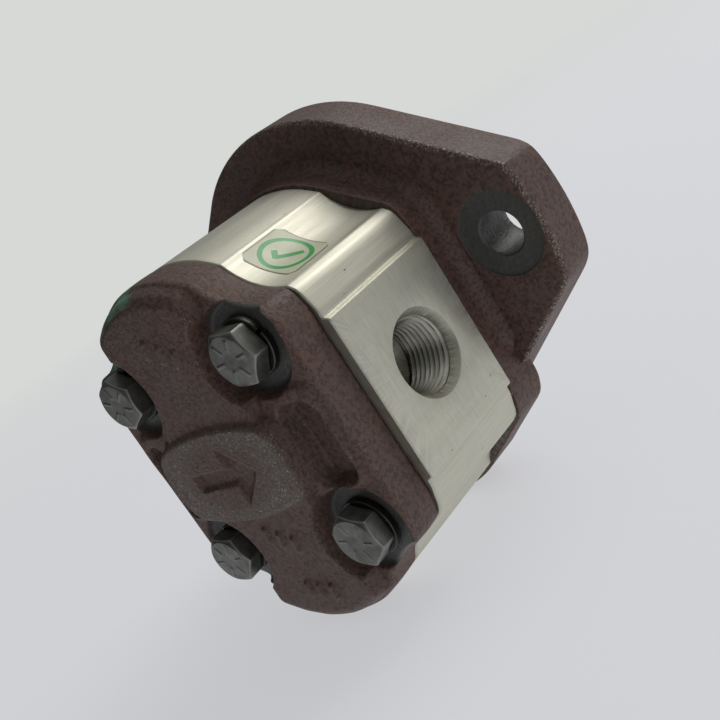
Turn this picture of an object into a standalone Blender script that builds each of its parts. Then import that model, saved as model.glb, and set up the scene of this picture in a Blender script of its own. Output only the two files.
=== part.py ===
"""External gear pump with an SAE A two-bolt flange, as separate named parts.

The origin is on the drive shaft's axis, in the plane of the mounting face.
+Y points out of the mounting face along the shaft, +Z from the driven gear to
the drive gear, and +X out of the delivery port's face.
"""

import math

import bmesh
import bpy

MM = 0.001

# Overall stack along the shaft, measured back from the mounting face
FLANGE_THICKNESS = 13.8 * MM
PLATFORM_DEPTH = 8.8 * MM
BODY_LENGTH = 38.5 * MM
COVER_THICKNESS = 10.2 * MM
BAND_RISE = 4.3 * MM
PAD_RISE = 5.8 * MM
EXTENSION_CLEARANCE = 9.0 * MM

# Gears
TEETH = 10
PRESSURE_ANGLE = math.radians(20)
CENTRE_DISTANCE = 23.6 * MM
CENTRE_SPREAD = 1.0488889
PROFILE_SHIFT = 0.285
ADDENDUM = 0.96
DEDENDUM = 1.2088889
BACKLASH = 0.12 * MM
JOURNAL_RADIUS = 8.0 * MM
BEARING_LENGTH = 11.0 * MM

# Shaft end and its key
SHAFT_RADIUS = 7.9375 * MM
SHAFT_REACH = 31.8 * MM
SHAFT_CHAMFER = 0.8 * MM
KEY_SIDE = 3.97 * MM
KEY_LENGTH = 19.05 * MM
KEY_START = 9.5 * MM

# Body section
LOBE_RADIUS = 35.5 * MM
LOBE_HALF_WIDTH = 19.6 * MM
FLUTE_RADIUS = 20.5 * MM
FLUTE_X = 38.0 * MM
FLUTE_BEYOND_GEAR = 39.35 * MM
BODY_HALF_WIDTH = 40.4 * MM
PORT_FACE_HALF_HEIGHT = 20.8 * MM
BOSS_HALF_WIDTH = 38.7 * MM
COVER_HALF_WIDTH = 37.4 * MM
PLATFORM_HALF_WIDTH = 38.6 * MM
PLATFORM_LOBE_RADIUS = 36.4 * MM

# Ports
PORT_OFFSET = 0.45 * MM
DELIVERY_THREAD_RADIUS = 9.525 * MM
SUCTION_THREAD_RADIUS = 11.11 * MM
PORT_THREAD_DEPTH = 15.5 * MM
PORT_CHAMFER = 1.2 * MM
DELIVERY_PASSAGE_RADIUS = 6.0 * MM
SUCTION_PASSAGE_RADIUS = 7.0 * MM

# Flange
PILOT_RADIUS = 41.275 * MM
PILOT_HEIGHT = 6.35 * MM
FLANGE_ARC_RADIUS = 49.5 * MM
EAR_RADIUS = 65.15 * MM
EAR_SLOPE = math.radians(34.9)
EAR_UPPER_CORNER = 14.2 * MM
EAR_LOWER_ROUNDING = 7.0 * MM
MOUNTING_HOLE_SPAN = 106.4 * MM
MOUNTING_HOLE_RADIUS = 5.55 * MM
SPOTFACE_RADIUS = 10.95 * MM
SPOTFACE_DEPTH = 0.5 * MM
SPIGOT_RECESS_INNER = 21.0 * MM
SPIGOT_RECESS_OUTER = 35.0 * MM
SPIGOT_RECESS_DEPTH = 4.0 * MM

# Shaft seal in the flange
SEAL_RADIUS = 14.0 * MM
SEAL_WIDTH = 6.3 * MM
SEAL_SHELF = 3.0 * MM
SEAL_SHELL = 1.1 * MM
CIRCLIP_THICKNESS = 1.2 * MM
CIRCLIP_SEAT_DEPTH = 1.1 * MM

# Screws that clamp the pump together
BOLT_SPACING_X = 49.6 * MM
BOLT_SPACING_Z = 48.6 * MM
BOLT_RADIUS = 3.97 * MM
BOLT_LENGTH = 63.5 * MM
HEAD_FLATS = 12.7 * MM
HEAD_HEIGHT = 5.3 * MM
HEAD_CHAMFER = 0.8 * MM
HEAD_TURNS = (111.7, 97.4, 84.2, 109.4)
WASHER_THICKNESS = 2.0 * MM
WASHER_RADIUS = 7.45 * MM
WASHER_SPLIT = 1.0 * MM
SEAT_RADIUS = 11.1 * MM

# Rear cover's casting
BAND_HALF_WIDTH = 18.5 * MM
BAND_INSET = 1.0 * MM
WING_HALF_WIDTH = 35.0 * MM
WING_HALF_HEIGHT = 13.5 * MM
WING_RISE = 1.6 * MM
PAD_HALF_WIDTH = 22.75 * MM
PAD_OFFSET = -2.75 * MM
PAD_HALF_HEIGHT = 11.8 * MM
PAD_SHOULDER = 8.8 * MM
PAD_DROP = 1.2 * MM
PAD_FOOT = 3.0 * MM
POCKET_OUTER = 32.6 * MM
POCKET_HALF_HEIGHT = 9.5 * MM
POCKET_DEPTH = 2.7 * MM

# Dowels and seals
DOWEL_RADIUS = 2.0 * MM
DOWEL_LENGTH = 10.0 * MM
DOWEL_X = 33.0 * MM
DOWEL_Z = 17.5 * MM
BODY_SEAL_LAND = 3.5 * MM
BODY_SEAL_CORD = 1.0 * MM
PRESSURE_SEAL_WIDTH = 1.6 * MM
PRESSURE_SEAL_HEIGHT = 1.6 * MM
GARTER_CORD = 0.6 * MM

# Clearances
JOINT_GAP = 0.2 * MM
SIDE_GAP = 0.1 * MM
RUNNING_GAP = 0.07 * MM
CHAMBER_GAP = 0.14 * MM
HOLE_GAP = 0.33 * MM
OVERCUT = 1.0 * MM

ROUND_STEPS = 32
HOLE_STEPS = 16

# Positions that follow from the sizes
CENTRE_Z = -CENTRE_DISTANCE / 2
MODULE = CENTRE_DISTANCE / (TEETH * CENTRE_SPREAD)
TIP_RADIUS = CENTRE_DISTANCE / 2 + ADDENDUM * MODULE
ROOT_RADIUS = CENTRE_DISTANCE / 2 - DEDENDUM * MODULE
FLUTE_CENTRE = (FLUTE_X, CENTRE_DISTANCE / 2 + FLUTE_BEYOND_GEAR)
PLATFORM_Y = -FLANGE_THICKNESS - PLATFORM_DEPTH
COVER_Y = PLATFORM_Y - BODY_LENGTH
RIM_Y = COVER_Y - COVER_THICKNESS
MIDDLE_Y = PLATFORM_Y - BODY_LENGTH / 2
SEAT_Y = RIM_Y + WASHER_THICKNESS
BOLT_HOLE_RADIUS = BOLT_RADIUS + HOLE_GAP
CHAMBER_RADIUS = TIP_RADIUS + CHAMBER_GAP
BODY_SEAL_PATH_RADIUS = CHAMBER_RADIUS + BODY_SEAL_LAND
BLOCK_RADIUS = CHAMBER_RADIUS - SIDE_GAP
LINER_INNER_RADIUS = JOURNAL_RADIUS + RUNNING_GAP
LINER_OUTER_RADIUS = LINER_INNER_RADIUS + 1.4 * MM
BLOCK_BORE_RADIUS = LINER_OUTER_RADIUS + SIDE_GAP
BLOCK_FRONT_Y = PLATFORM_Y - 2 * JOINT_GAP
BLOCK_REAR_Y = COVER_Y + 2 * JOINT_GAP
GEAR_FRONT_Y = BLOCK_FRONT_Y - BEARING_LENGTH - SIDE_GAP
GEAR_REAR_Y = BLOCK_REAR_Y + BEARING_LENGTH + SIDE_GAP
SEAL_BACK_Y = JOINT_GAP - SEAL_SHELF
SEAL_FRONT_Y = SEAL_BACK_Y + SEAL_WIDTH
BOLT_CENTRES = [
    (side * BOLT_SPACING_X / 2, CENTRE_Z + end * BOLT_SPACING_Z / 2)
    for end, side in ((1, 1), (-1, 1), (1, -1), (-1, -1))
]
DOWEL_CENTRES = [(-DOWEL_X, CENTRE_Z + DOWEL_Z), (DOWEL_X, CENTRE_Z - DOWEL_Z)]


def arc(centre, radius, start, end, steps):
    """Points on a circle in the XZ plane, between two angles in degrees from +X towards +Z."""
    turns = [math.radians(start + (end - start) * step / steps) for step in range(steps + 1)]
    return [(centre[0] + radius * math.cos(t), centre[1] + radius * math.sin(t)) for t in turns]


def angle_of(centre, point):
    """Direction from a centre to a point, in degrees from +X towards +Z."""
    return math.degrees(math.atan2(point[1] - centre[1], point[0] - centre[0]))


def mirrored(quarter):
    """Closed outline from one quarter that runs from the top round to +X, about the body's centre."""
    right = quarter + [(x, -z) for x, z in reversed(quarter)]
    outline = right + [(-x, z) for x, z in reversed(right)]
    kept = [outline[0]]
    for point in outline[1:]:
        if math.dist(point, kept[-1]) > 0.01 * MM:
            kept.append(point)
    if math.dist(kept[0], kept[-1]) < 0.01 * MM:
        kept.pop()
    return [(x, z + CENTRE_Z) for x, z in kept]


def lobed_quarter(lobe_radius, lobe_half_width, side):
    """Quarter section: a lobe round one gear, a hollow flute, then the given points down the side."""
    centre = (0, -CENTRE_Z)
    corner = (lobe_half_width, centre[1] + math.sqrt(lobe_radius**2 - lobe_half_width**2))
    lobe = arc(centre, lobe_radius, 90, angle_of(centre, corner), 9)
    start = angle_of(FLUTE_CENTRE, corner) % 360
    flute = arc(FLUTE_CENTRE, FLUTE_RADIUS, start + 3, 261, 7)
    return lobe + flute + side


def body_outline():
    side = [
        (36.6 * MM, 29.4 * MM),
        (37.3 * MM, 27.9 * MM),
        (BOSS_HALF_WIDTH, 23.1 * MM),
        (BOSS_HALF_WIDTH, PORT_FACE_HALF_HEIGHT + 0.6 * MM),
        (BODY_HALF_WIDTH, PORT_FACE_HALF_HEIGHT),
    ]
    return mirrored(lobed_quarter(LOBE_RADIUS, LOBE_HALF_WIDTH, side))


def cover_outline():
    side = [(36.2 * MM, 28.9 * MM), (COVER_HALF_WIDTH, 25.0 * MM)]
    return mirrored(lobed_quarter(LOBE_RADIUS, LOBE_HALF_WIDTH, side))


def platform_outline():
    """The flange's raised joint face: the body's section with its flutes filled."""
    lobe = arc((0, -CENTRE_Z), PLATFORM_LOBE_RADIUS, 90, 52, 8)
    side = [(36.6 * MM, 31.0 * MM), (PLATFORM_HALF_WIDTH, 26.0 * MM)]
    return mirrored(lobe + side)


def flange_outline():
    """Plate outline about the shaft: a round middle, straight slopes and two ears."""
    slope = math.degrees(EAR_SLOPE)
    middle = arc((0, 0), FLANGE_ARC_RADIUS, 90, 90 - slope, 6)
    end_angle = math.degrees(math.asin(EAR_UPPER_CORNER / EAR_RADIUS))
    reach = EAR_RADIUS - EAR_LOWER_ROUNDING
    lean = math.acos((FLANGE_ARC_RADIUS - EAR_LOWER_ROUNDING) / reach) + EAR_SLOPE - math.pi / 2
    centre = (reach * math.cos(lean), reach * math.sin(lean))
    upper_ear = arc((0, 0), EAR_RADIUS, end_angle, 0, 4)
    upper_ear += arc((0, 0), EAR_RADIUS, 0, math.degrees(lean), 3)[1:]
    rounding = arc(centre, EAR_LOWER_ROUNDING, math.degrees(lean), -90 + slope, 4)[1:]
    lower = arc((0, 0), FLANGE_ARC_RADIUS, -90 + slope, -90, 6)
    right = middle + upper_ear + rounding + lower
    return right + [(-x, z) for x, z in reversed(right[1:-1])]


def figure_eight(radius, steps):
    """Outline of two equal circles on the gear axes, joined."""
    meet = math.degrees(math.asin(CENTRE_DISTANCE / 2 / radius))
    upper = arc((0, 0), radius, -meet, 180 + meet, steps)
    lower = arc((0, -CENTRE_DISTANCE), radius, 180 - meet, 360 + meet, steps)
    return upper + lower[1:-1]


def stadium(radius, steps):
    """Outline of a belt round both gear axes."""
    upper = arc((0, 0), radius, 0, 180, steps)
    return upper + arc((0, -CENTRE_DISTANCE), radius, 180, 360, steps)


def gear_outline(phase):
    """Involute teeth with radial lines under the base circle, one tooth centred on the phase angle."""
    pitch_radius = MODULE * TEETH / 2
    base_radius = pitch_radius * math.cos(PRESSURE_ANGLE)
    rolled = math.tan(PRESSURE_ANGLE) - PRESSURE_ANGLE
    thickness = MODULE * (math.pi / 2 + 2 * PROFILE_SHIFT * math.tan(PRESSURE_ANGLE)) - BACKLASH
    at_base = thickness / (2 * pitch_radius) + rolled
    flank = [(ROOT_RADIUS, at_base + 0.075), (ROOT_RADIUS + 0.5 * MM, at_base)]
    for step in range(5):
        radius = base_radius + (TIP_RADIUS - base_radius) * (step / 4) ** 1.3
        lean = math.acos(base_radius / radius)
        flank.append((radius, at_base - (math.tan(lean) - lean)))
    tooth = [(radius, -half) for radius, half in flank]
    tooth += [(radius, half) for radius, half in reversed(flank)]
    outline = []
    for count in range(TEETH):
        middle = phase + 2 * math.pi * count / TEETH
        outline += [(r * math.cos(middle + a), r * math.sin(middle + a)) for r, a in tooth]
    return outline


def split_ring_outline(outer, inner, split, start, steps):
    """Flat ring with a straight gap of the given width, centred on the start angle in degrees."""
    half_outer = math.degrees(math.asin(split / 2 / outer))
    half_inner = math.degrees(math.asin(split / 2 / inner))
    outside = arc((0, 0), outer, start + half_outer, start + 360 - half_outer, steps)
    inside = arc((0, 0), inner, start + 360 - half_inner, start + half_inner, steps)
    return outside + inside


def ribbon(path, half_width):
    """Closed outline of an open path with a width, its corners mitred."""
    left, right = [], []
    for index, (x, z) in enumerate(path):
        before = path[max(index - 1, 0)]
        after = path[min(index + 1, len(path) - 1)]
        here = path[index]
        normals = []
        for a, b in ((before, here), (here, after)):
            length = math.dist(a, b)
            if length > 0:
                normals.append((-(b[1] - a[1]) / length, (b[0] - a[0]) / length))
        nx = sum(n[0] for n in normals) / len(normals)
        nz = sum(n[1] for n in normals) / len(normals)
        scale = half_width / (nx * nx + nz * nz)
        left.append((x + nx * scale, z + nz * scale))
        right.append((x - nx * scale, z - nz * scale))
    return left + right[::-1]


def pressure_seal_path():
    """A path shaped like a 3, round both journals on the suction side."""
    upper = arc((0, 0), CENTRE_DISTANCE / 2, 80, 242, 12)
    lower = arc((0, -CENTRE_DISTANCE), CENTRE_DISTANCE / 2, 118, 280, 12)
    return upper + lower


def finish(name, mesh, place=(0, 0, 0), smooth=35):
    """Turn a bmesh into an object in the scene."""
    bmesh.ops.recalc_face_normals(mesh, faces=mesh.faces)
    data = bpy.data.meshes.new(name)
    mesh.to_mesh(data)
    mesh.free()
    data.shade_smooth()
    data.set_sharp_from_angle(angle=math.radians(smooth))
    made = bpy.data.objects.new(name, data)
    made.location = place
    bpy.context.scene.collection.objects.link(made)
    return made


def add_prism(mesh, outline, low, high):
    """Add an XZ outline drawn out along Y, with both ends closed."""
    near = [mesh.verts.new((x, low, z)) for x, z in outline]
    far = [mesh.verts.new((x, high, z)) for x, z in outline]
    mesh.faces.new(near)
    mesh.faces.new(far[::-1])
    for index in range(len(outline)):
        after = (index + 1) % len(outline)
        mesh.faces.new((near[index], near[after], far[after], far[index]))


def prism(name, outline, low, high, place=(0, 0, 0)):
    mesh = bmesh.new()
    add_prism(mesh, outline, low, high)
    return finish(name, mesh, place)


def cylinders(name, centres, radius, low, high, steps=HOLE_STEPS):
    """Several equal cylinders along Y, as one cutter."""
    mesh = bmesh.new()
    for centre in centres:
        add_prism(mesh, arc(centre, radius, 0, 360, steps)[:-1], low, high)
    return finish(name, mesh)


def ring_prism(name, outer, inner, low, high):
    """A closed band between two outlines with equally many points."""
    mesh = bmesh.new()
    loops = [[mesh.verts.new((x, y, z)) for x, z in line] for line, y in
             ((outer, low), (outer, high), (inner, high), (inner, low))]
    count = len(outer)
    for loop, after in zip(loops, loops[1:] + loops[:1]):
        for index in range(count):
            beside = (index + 1) % count
            mesh.faces.new((loop[index], loop[beside], after[beside], after[index]))
    return finish(name, mesh)


def turned(name, profile, place=(0, 0, 0), steps=ROUND_STEPS, axis="Y"):
    """Solid of revolution: a closed list of (radius, distance along the axis)."""
    mesh = bmesh.new()
    rings = []
    for radius, along in profile:
        if radius == 0:
            points = [(0, 0, along)]
        else:
            points = [(x, z, along) for x, z in arc((0, 0), radius, 0, 360, steps)[:-1]]
        if axis == "Y":
            points = [(x, along, z) for x, z, along in points]
        else:
            points = [(along, x, z) for x, z, along in points]
        verts = [mesh.verts.new(point) for point in points]
        rings.append(verts * steps if radius == 0 else verts)
    for ring, after in zip(rings, rings[1:] + rings[:1]):
        for index in range(steps):
            beside = (index + 1) % steps
            corners = (ring[index], ring[beside], after[beside], after[index])
            kept = list(dict.fromkeys(corners))
            if len(kept) > 2:
                mesh.faces.new(kept)
    return finish(name, mesh, place)


def cord_loop(name, outline_of, path_radius, cord_radius, y, sides=6):
    """A round cord laid along a belt-like outline, which outline_of draws for any radius."""
    mesh = bmesh.new()
    rings = []
    for side in range(sides):
        turn = 2 * math.pi * (side + 0.5) / sides
        outline = outline_of(path_radius + cord_radius * math.cos(turn))
        height = y + cord_radius * math.sin(turn)
        rings.append([mesh.verts.new((x, height, z)) for x, z in outline])
    for ring, after in zip(rings, rings[1:] + rings[:1]):
        for index in range(len(ring)):
            beside = (index + 1) % len(ring)
            mesh.faces.new((ring[index], ring[beside], after[beside], after[index]))
    return finish(name, mesh)


def combine(target, other, operation="DIFFERENCE"):
    """Cut, join or intersect, with the other object kept out of the render."""
    change = target.modifiers.new(other.name, "BOOLEAN")
    change.operation = operation
    change.solver = "EXACT"
    change.object = other
    other.hide_render = True
    other.display_type = "WIRE"


def paint(target, name, colour, roughness, metallic):
    """Give an object a plain material of its own."""
    made = bpy.data.materials.new(name)
    made.use_nodes = True
    shader = made.node_tree.nodes["Principled BSDF"]
    shader.inputs["Base Color"].default_value = (*colour, 1)
    shader.inputs["Roughness"].default_value = roughness
    shader.inputs["Metallic"].default_value = metallic
    target.data.materials.clear()
    target.data.materials.append(made)


def port_cutter(name, side, thread_radius, passage_radius):
    """Threaded bore with a sealing chamfer, then a passage on into the gear chamber."""
    face = BODY_HALF_WIDTH
    bottom = face - PORT_THREAD_DEPTH
    mouth = thread_radius + PORT_CHAMFER
    profile = [
        (0, side * (face + OVERCUT)),
        (mouth, side * (face + OVERCUT)),
        (mouth, side * face),
        (thread_radius, side * (face - 2 * PORT_CHAMFER)),
        (thread_radius, side * bottom),
        (passage_radius, side * (bottom - 0.5 * (thread_radius - passage_radius))),
        (passage_radius, side * 4 * MM),
        (0, side * 4 * MM),
    ]
    place = (0, MIDDLE_Y + PORT_OFFSET, CENTRE_Z)
    return turned(name, profile, place, ROUND_STEPS, "X")


def make_body():
    body = prism("pump_body", body_outline(), COVER_Y + JOINT_GAP, PLATFORM_Y - JOINT_GAP)
    low, high = COVER_Y - OVERCUT, PLATFORM_Y + OVERCUT
    combine(body, prism("cut_chamber", figure_eight(CHAMBER_RADIUS, 26), low, high))
    combine(body, cylinders("cut_body_bolts", BOLT_CENTRES, BOLT_HOLE_RADIUS, low, high))
    combine(body, port_cutter("cut_delivery", 1, DELIVERY_THREAD_RADIUS, DELIVERY_PASSAGE_RADIUS))
    combine(body, port_cutter("cut_suction", -1, SUCTION_THREAD_RADIUS, SUCTION_PASSAGE_RADIUS))
    groove = BODY_SEAL_CORD + 0.5 * MM
    outer = stadium(BODY_SEAL_PATH_RADIUS + groove, 10)
    inner = stadium(BODY_SEAL_PATH_RADIUS - groove, 10)
    depth = 2 * BODY_SEAL_CORD + SIDE_GAP
    front = PLATFORM_Y - JOINT_GAP
    rear = COVER_Y + JOINT_GAP
    combine(body, ring_prism("cut_front_groove", outer, inner, front - depth, front + OVERCUT))
    combine(body, ring_prism("cut_rear_groove", outer, inner, rear - OVERCUT, rear + depth))
    for name, y in (("cut_front_dowels", front), ("cut_rear_dowels", rear)):
        reach = DOWEL_LENGTH / 2 + JOINT_GAP
        radius = DOWEL_RADIUS + SIDE_GAP
        combine(body, cylinders(name, DOWEL_CENTRES, radius, y - reach, y + reach, 16))
    paint(body, "bare_aluminium", (0.62, 0.63, 0.58), 0.4, 1.0)


def pad_outline():
    """Barrel-shaped pad in the middle of the cover."""
    middle = CENTRE_Z - PAD_DROP
    bulge = PAD_HALF_HEIGHT - PAD_SHOULDER
    radius = (PAD_HALF_WIDTH**2 + bulge**2) / (2 * bulge)
    spread = math.degrees(math.asin((PAD_HALF_WIDTH - 2 * MM) / radius))
    top_centre = (PAD_OFFSET, middle + PAD_HALF_HEIGHT - radius)
    top = arc(top_centre, radius, 90 + spread, 90 - spread, 8)
    side = [(PAD_OFFSET + PAD_HALF_WIDTH, middle + PAD_SHOULDER - 2 * MM)]
    bottom = [(x, 2 * middle - z) for x, z in reversed(top + side)]
    left = [(PAD_OFFSET - PAD_HALF_WIDTH, middle - PAD_SHOULDER + 2 * MM)]
    return top + side + bottom + left + [(left[0][0], 2 * middle - left[0][1])]


def box_outline(left, right, low, high):
    return [(left, low), (right, low), (right, high), (left, high)]


def make_cover():
    cover = prism("rear_cover", cover_outline(), RIM_Y, COVER_Y)
    root = RIM_Y + 2 * MM
    wings = box_outline(-WING_HALF_WIDTH, WING_HALF_WIDTH, CENTRE_Z - WING_HALF_HEIGHT,
                        CENTRE_Z + WING_HALF_HEIGHT)
    combine(cover, prism("add_wings", wings, RIM_Y - WING_RISE, root), "UNION")
    centre = (0, -CENTRE_Z)
    inset_radius = LOBE_RADIUS - BAND_INSET
    corner = (BAND_HALF_WIDTH, centre[1] + math.sqrt(inset_radius**2 - BAND_HALF_WIDTH**2))
    band = mirrored(arc(centre, inset_radius, 90, angle_of(centre, corner), 9))
    combine(cover, prism("add_band", band, RIM_Y - BAND_RISE, root + 0.3 * MM), "UNION")
    combine(cover, prism("add_pad", pad_outline(), RIM_Y - PAD_RISE, root + 0.6 * MM), "UNION")
    outside = RIM_Y - PAD_RISE - OVERCUT
    seats = cylinders("cut_seats", BOLT_CENTRES, SEAT_RADIUS, outside, SEAT_Y, 28)
    combine(cover, seats)
    pockets = bmesh.new()
    low, high = (CENTRE_Z - PAD_DROP + end * POCKET_HALF_HEIGHT for end in (-1, 1))
    reach = PAD_HALF_WIDTH + PAD_FOOT
    for left, right in ((PAD_OFFSET + reach, POCKET_OUTER), (-POCKET_OUTER, PAD_OFFSET - reach)):
        add_prism(pockets, box_outline(left, right, low, high), outside, RIM_Y + POCKET_DEPTH)
    combine(cover, finish("cut_pockets", pockets))
    through = COVER_Y + OVERCUT
    combine(cover, cylinders("cut_cover_bolts", BOLT_CENTRES, BOLT_HOLE_RADIUS, outside, through))
    reach = DOWEL_LENGTH / 2 + JOINT_GAP
    radius = DOWEL_RADIUS + SIDE_GAP
    dowels = cylinders("cut_cover_dowels", DOWEL_CENTRES, radius, COVER_Y - reach, through, 16)
    combine(cover, dowels)
    paint(cover, "primed_cast_iron", (0.11, 0.065, 0.06), 0.65, 0.2)


def make_flange():
    flange = prism("mounting_flange", flange_outline(), -FLANGE_THICKNESS, 0)
    platform = platform_outline()
    inside = -FLANGE_THICKNESS + 2 * MM
    combine(flange, prism("add_platform", platform, PLATFORM_Y, inside), "UNION")
    lower = [point for point in platform if point[1] < CENTRE_Z]
    extension = prism("add_extension", lower, PLATFORM_Y + 0.01 * MM, -EXTENSION_CLEARANCE)
    combine(flange, extension, "UNION")
    pilot = turned("add_pilot", [(0, -2 * MM), (PILOT_RADIUS, -2 * MM),
                                 (PILOT_RADIUS, PILOT_HEIGHT), (0, PILOT_HEIGHT)], steps=48)
    combine(flange, pilot, "UNION")
    top = PILOT_HEIGHT + OVERCUT
    seal_bore = SEAL_RADIUS + SIDE_GAP
    seat_start = SEAL_FRONT_Y + SIDE_GAP
    seat_end = seat_start + CIRCLIP_THICKNESS + 2 * SIDE_GAP
    seat_radius = seal_bore + CIRCLIP_SEAT_DEPTH
    bore = turned("cut_shaft_bore", [
        (0, PLATFORM_Y - OVERCUT),
        (JOURNAL_RADIUS + 1.2 * MM, PLATFORM_Y - OVERCUT),
        (JOURNAL_RADIUS + 1.2 * MM, -SEAL_SHELF),
        (seal_bore, -SEAL_SHELF),
        (seal_bore, seat_start),
        (seat_radius, seat_start),
        (seat_radius, seat_end),
        (seal_bore, seat_end),
        (seal_bore, top),
        (0, top),
    ])
    combine(flange, bore)
    recess_floor = PILOT_HEIGHT - SPIGOT_RECESS_DEPTH
    recess = turned("cut_recess", [
        (SPIGOT_RECESS_INNER, top),
        (SPIGOT_RECESS_INNER, recess_floor),
        (SPIGOT_RECESS_OUTER, recess_floor),
        (SPIGOT_RECESS_OUTER, top),
    ])
    combine(flange, recess)
    ears = [(side * MOUNTING_HOLE_SPAN / 2, 0) for side in (-1, 1)]
    back = -FLANGE_THICKNESS - OVERCUT
    combine(flange, cylinders("cut_ears", ears, MOUNTING_HOLE_RADIUS, back, OVERCUT, 32))
    floor = SPOTFACE_DEPTH - FLANGE_THICKNESS
    combine(flange, cylinders("cut_spotfaces", ears, SPOTFACE_RADIUS, back, floor, 32))
    low = PLATFORM_Y - OVERCUT
    tapped = RIM_Y + BOLT_LENGTH + OVERCUT
    combine(flange, cylinders("cut_tapped", BOLT_CENTRES, BOLT_HOLE_RADIUS, low, tapped))
    high = PLATFORM_Y + DOWEL_LENGTH / 2 + JOINT_GAP
    radius = DOWEL_RADIUS + SIDE_GAP
    combine(flange, cylinders("cut_flange_dowels", DOWEL_CENTRES, radius, low, high, 16))
    paint(flange, "primed_cast_iron_flange", (0.13, 0.075, 0.065), 0.65, 0.2)


def make_gear(name, phase, place, front_y):
    """Shaft turned with its gear; front_y is where the front journal ends or the drive end begins."""
    gear = prism(name, gear_outline(phase), GEAR_REAR_Y, GEAR_FRONT_Y, place)
    rear = BLOCK_REAR_Y + JOINT_GAP
    profile = [(0, rear), (JOURNAL_RADIUS - 0.5 * MM, rear), (JOURNAL_RADIUS, rear + 0.5 * MM)]
    if front_y > 0:
        step = PLATFORM_Y + OVERCUT
        profile += [(JOURNAL_RADIUS, step), (SHAFT_RADIUS, step + 0.5 * MM)]
        profile += [(SHAFT_RADIUS, front_y - SHAFT_CHAMFER), (SHAFT_RADIUS - SHAFT_CHAMFER, front_y)]
    else:
        profile += [(JOURNAL_RADIUS, front_y - 0.5 * MM), (JOURNAL_RADIUS - 0.5 * MM, front_y)]
    profile.append((0, front_y))
    combine(gear, turned("add_journals_" + name, profile, place), "UNION")
    paint(gear, "ground_steel_" + name, (0.45, 0.45, 0.46), 0.25, 1.0)
    return gear


def make_rotating_group():
    drive = make_gear("drive_gear_shaft", -math.pi / 2, (0, 0, 0), SHAFT_REACH)
    slot = KEY_SIDE / 2 + SIDE_GAP
    depth = SHAFT_RADIUS - KEY_SIDE / 2
    end = KEY_START + KEY_LENGTH
    cutter = box_outline(-slot, slot, depth - SIDE_GAP, SHAFT_RADIUS + KEY_SIDE)
    combine(drive, prism("cut_keyway", cutter, KEY_START - SIDE_GAP, end + SIDE_GAP))
    section = box_outline(-KEY_SIDE / 2, KEY_SIDE / 2, depth, depth + KEY_SIDE)
    key = prism("shaft_key", section, KEY_START, end)
    paint(key, "key_steel", (0.4, 0.4, 0.42), 0.35, 1.0)
    half_pitch = math.pi / TEETH
    driven_place = (0, 0, -CENTRE_DISTANCE)
    make_gear("driven_gear_shaft", math.pi / 2 + half_pitch, driven_place, BLOCK_FRONT_Y - JOINT_GAP)


def make_bearings():
    """Two pressure-loaded bearing blocks, each with two liners and a 3-shaped seal."""
    axes = [(0, 0), (0, -CENTRE_DISTANCE)]
    front = (BLOCK_FRONT_Y - BEARING_LENGTH, BLOCK_FRONT_Y)
    rear = (BLOCK_REAR_Y, BLOCK_REAR_Y + BEARING_LENGTH)
    path = pressure_seal_path()
    depth = PRESSURE_SEAL_HEIGHT - SIDE_GAP
    for end, (low, high), outward in (("front", front, 1), ("rear", rear, -1)):
        block = prism(end + "_bearing_block", figure_eight(BLOCK_RADIUS, 26), low, high)
        bores = cylinders("cut_bores_" + end, axes, BLOCK_BORE_RADIUS, low - OVERCUT,
                          high + OVERCUT, ROUND_STEPS)
        combine(block, bores)
        face = high if outward > 0 else low
        floor = face - outward * (depth + SIDE_GAP)
        wide = ribbon(path, PRESSURE_SEAL_WIDTH / 2 + SIDE_GAP)
        groove = sorted((floor, face + outward * OVERCUT))
        combine(block, prism("cut_seal_groove_" + end, wide, *groove))
        paint(block, "block_aluminium_" + end, (0.6, 0.58, 0.52), 0.45, 1.0)
        narrow = ribbon(path[1:-1], PRESSURE_SEAL_WIDTH / 2)
        span = sorted((floor + outward * SIDE_GAP, face + outward * SIDE_GAP))
        seal = prism(end + "_pressure_seal", narrow, *span)
        paint(seal, "seal_rubber_" + end, (0.03, 0.03, 0.032), 0.6, 0.0)
        for which, (x, z) in zip(("drive", "driven"), axes):
            inset = SIDE_GAP
            liner = turned(f"{end}_{which}_liner", [
                (LINER_INNER_RADIUS, low + inset),
                (LINER_OUTER_RADIUS, low + inset),
                (LINER_OUTER_RADIUS, high - inset),
                (LINER_INNER_RADIUS, high - inset),
            ], (x, 0, z))
            paint(liner, f"liner_bronze_{end}_{which}", (0.48, 0.34, 0.2), 0.4, 1.0)


def make_body_seals():
    def belt(radius):
        return stadium(radius, 10)

    inset = JOINT_GAP + BODY_SEAL_CORD
    for name, y in (("front_body_seal", PLATFORM_Y - inset), ("rear_body_seal", COVER_Y + inset)):
        seal = cord_loop(name, belt, BODY_SEAL_PATH_RADIUS, BODY_SEAL_CORD, y)
        paint(seal, name + "_rubber", (0.02, 0.02, 0.022), 0.55, 0.0)


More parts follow.
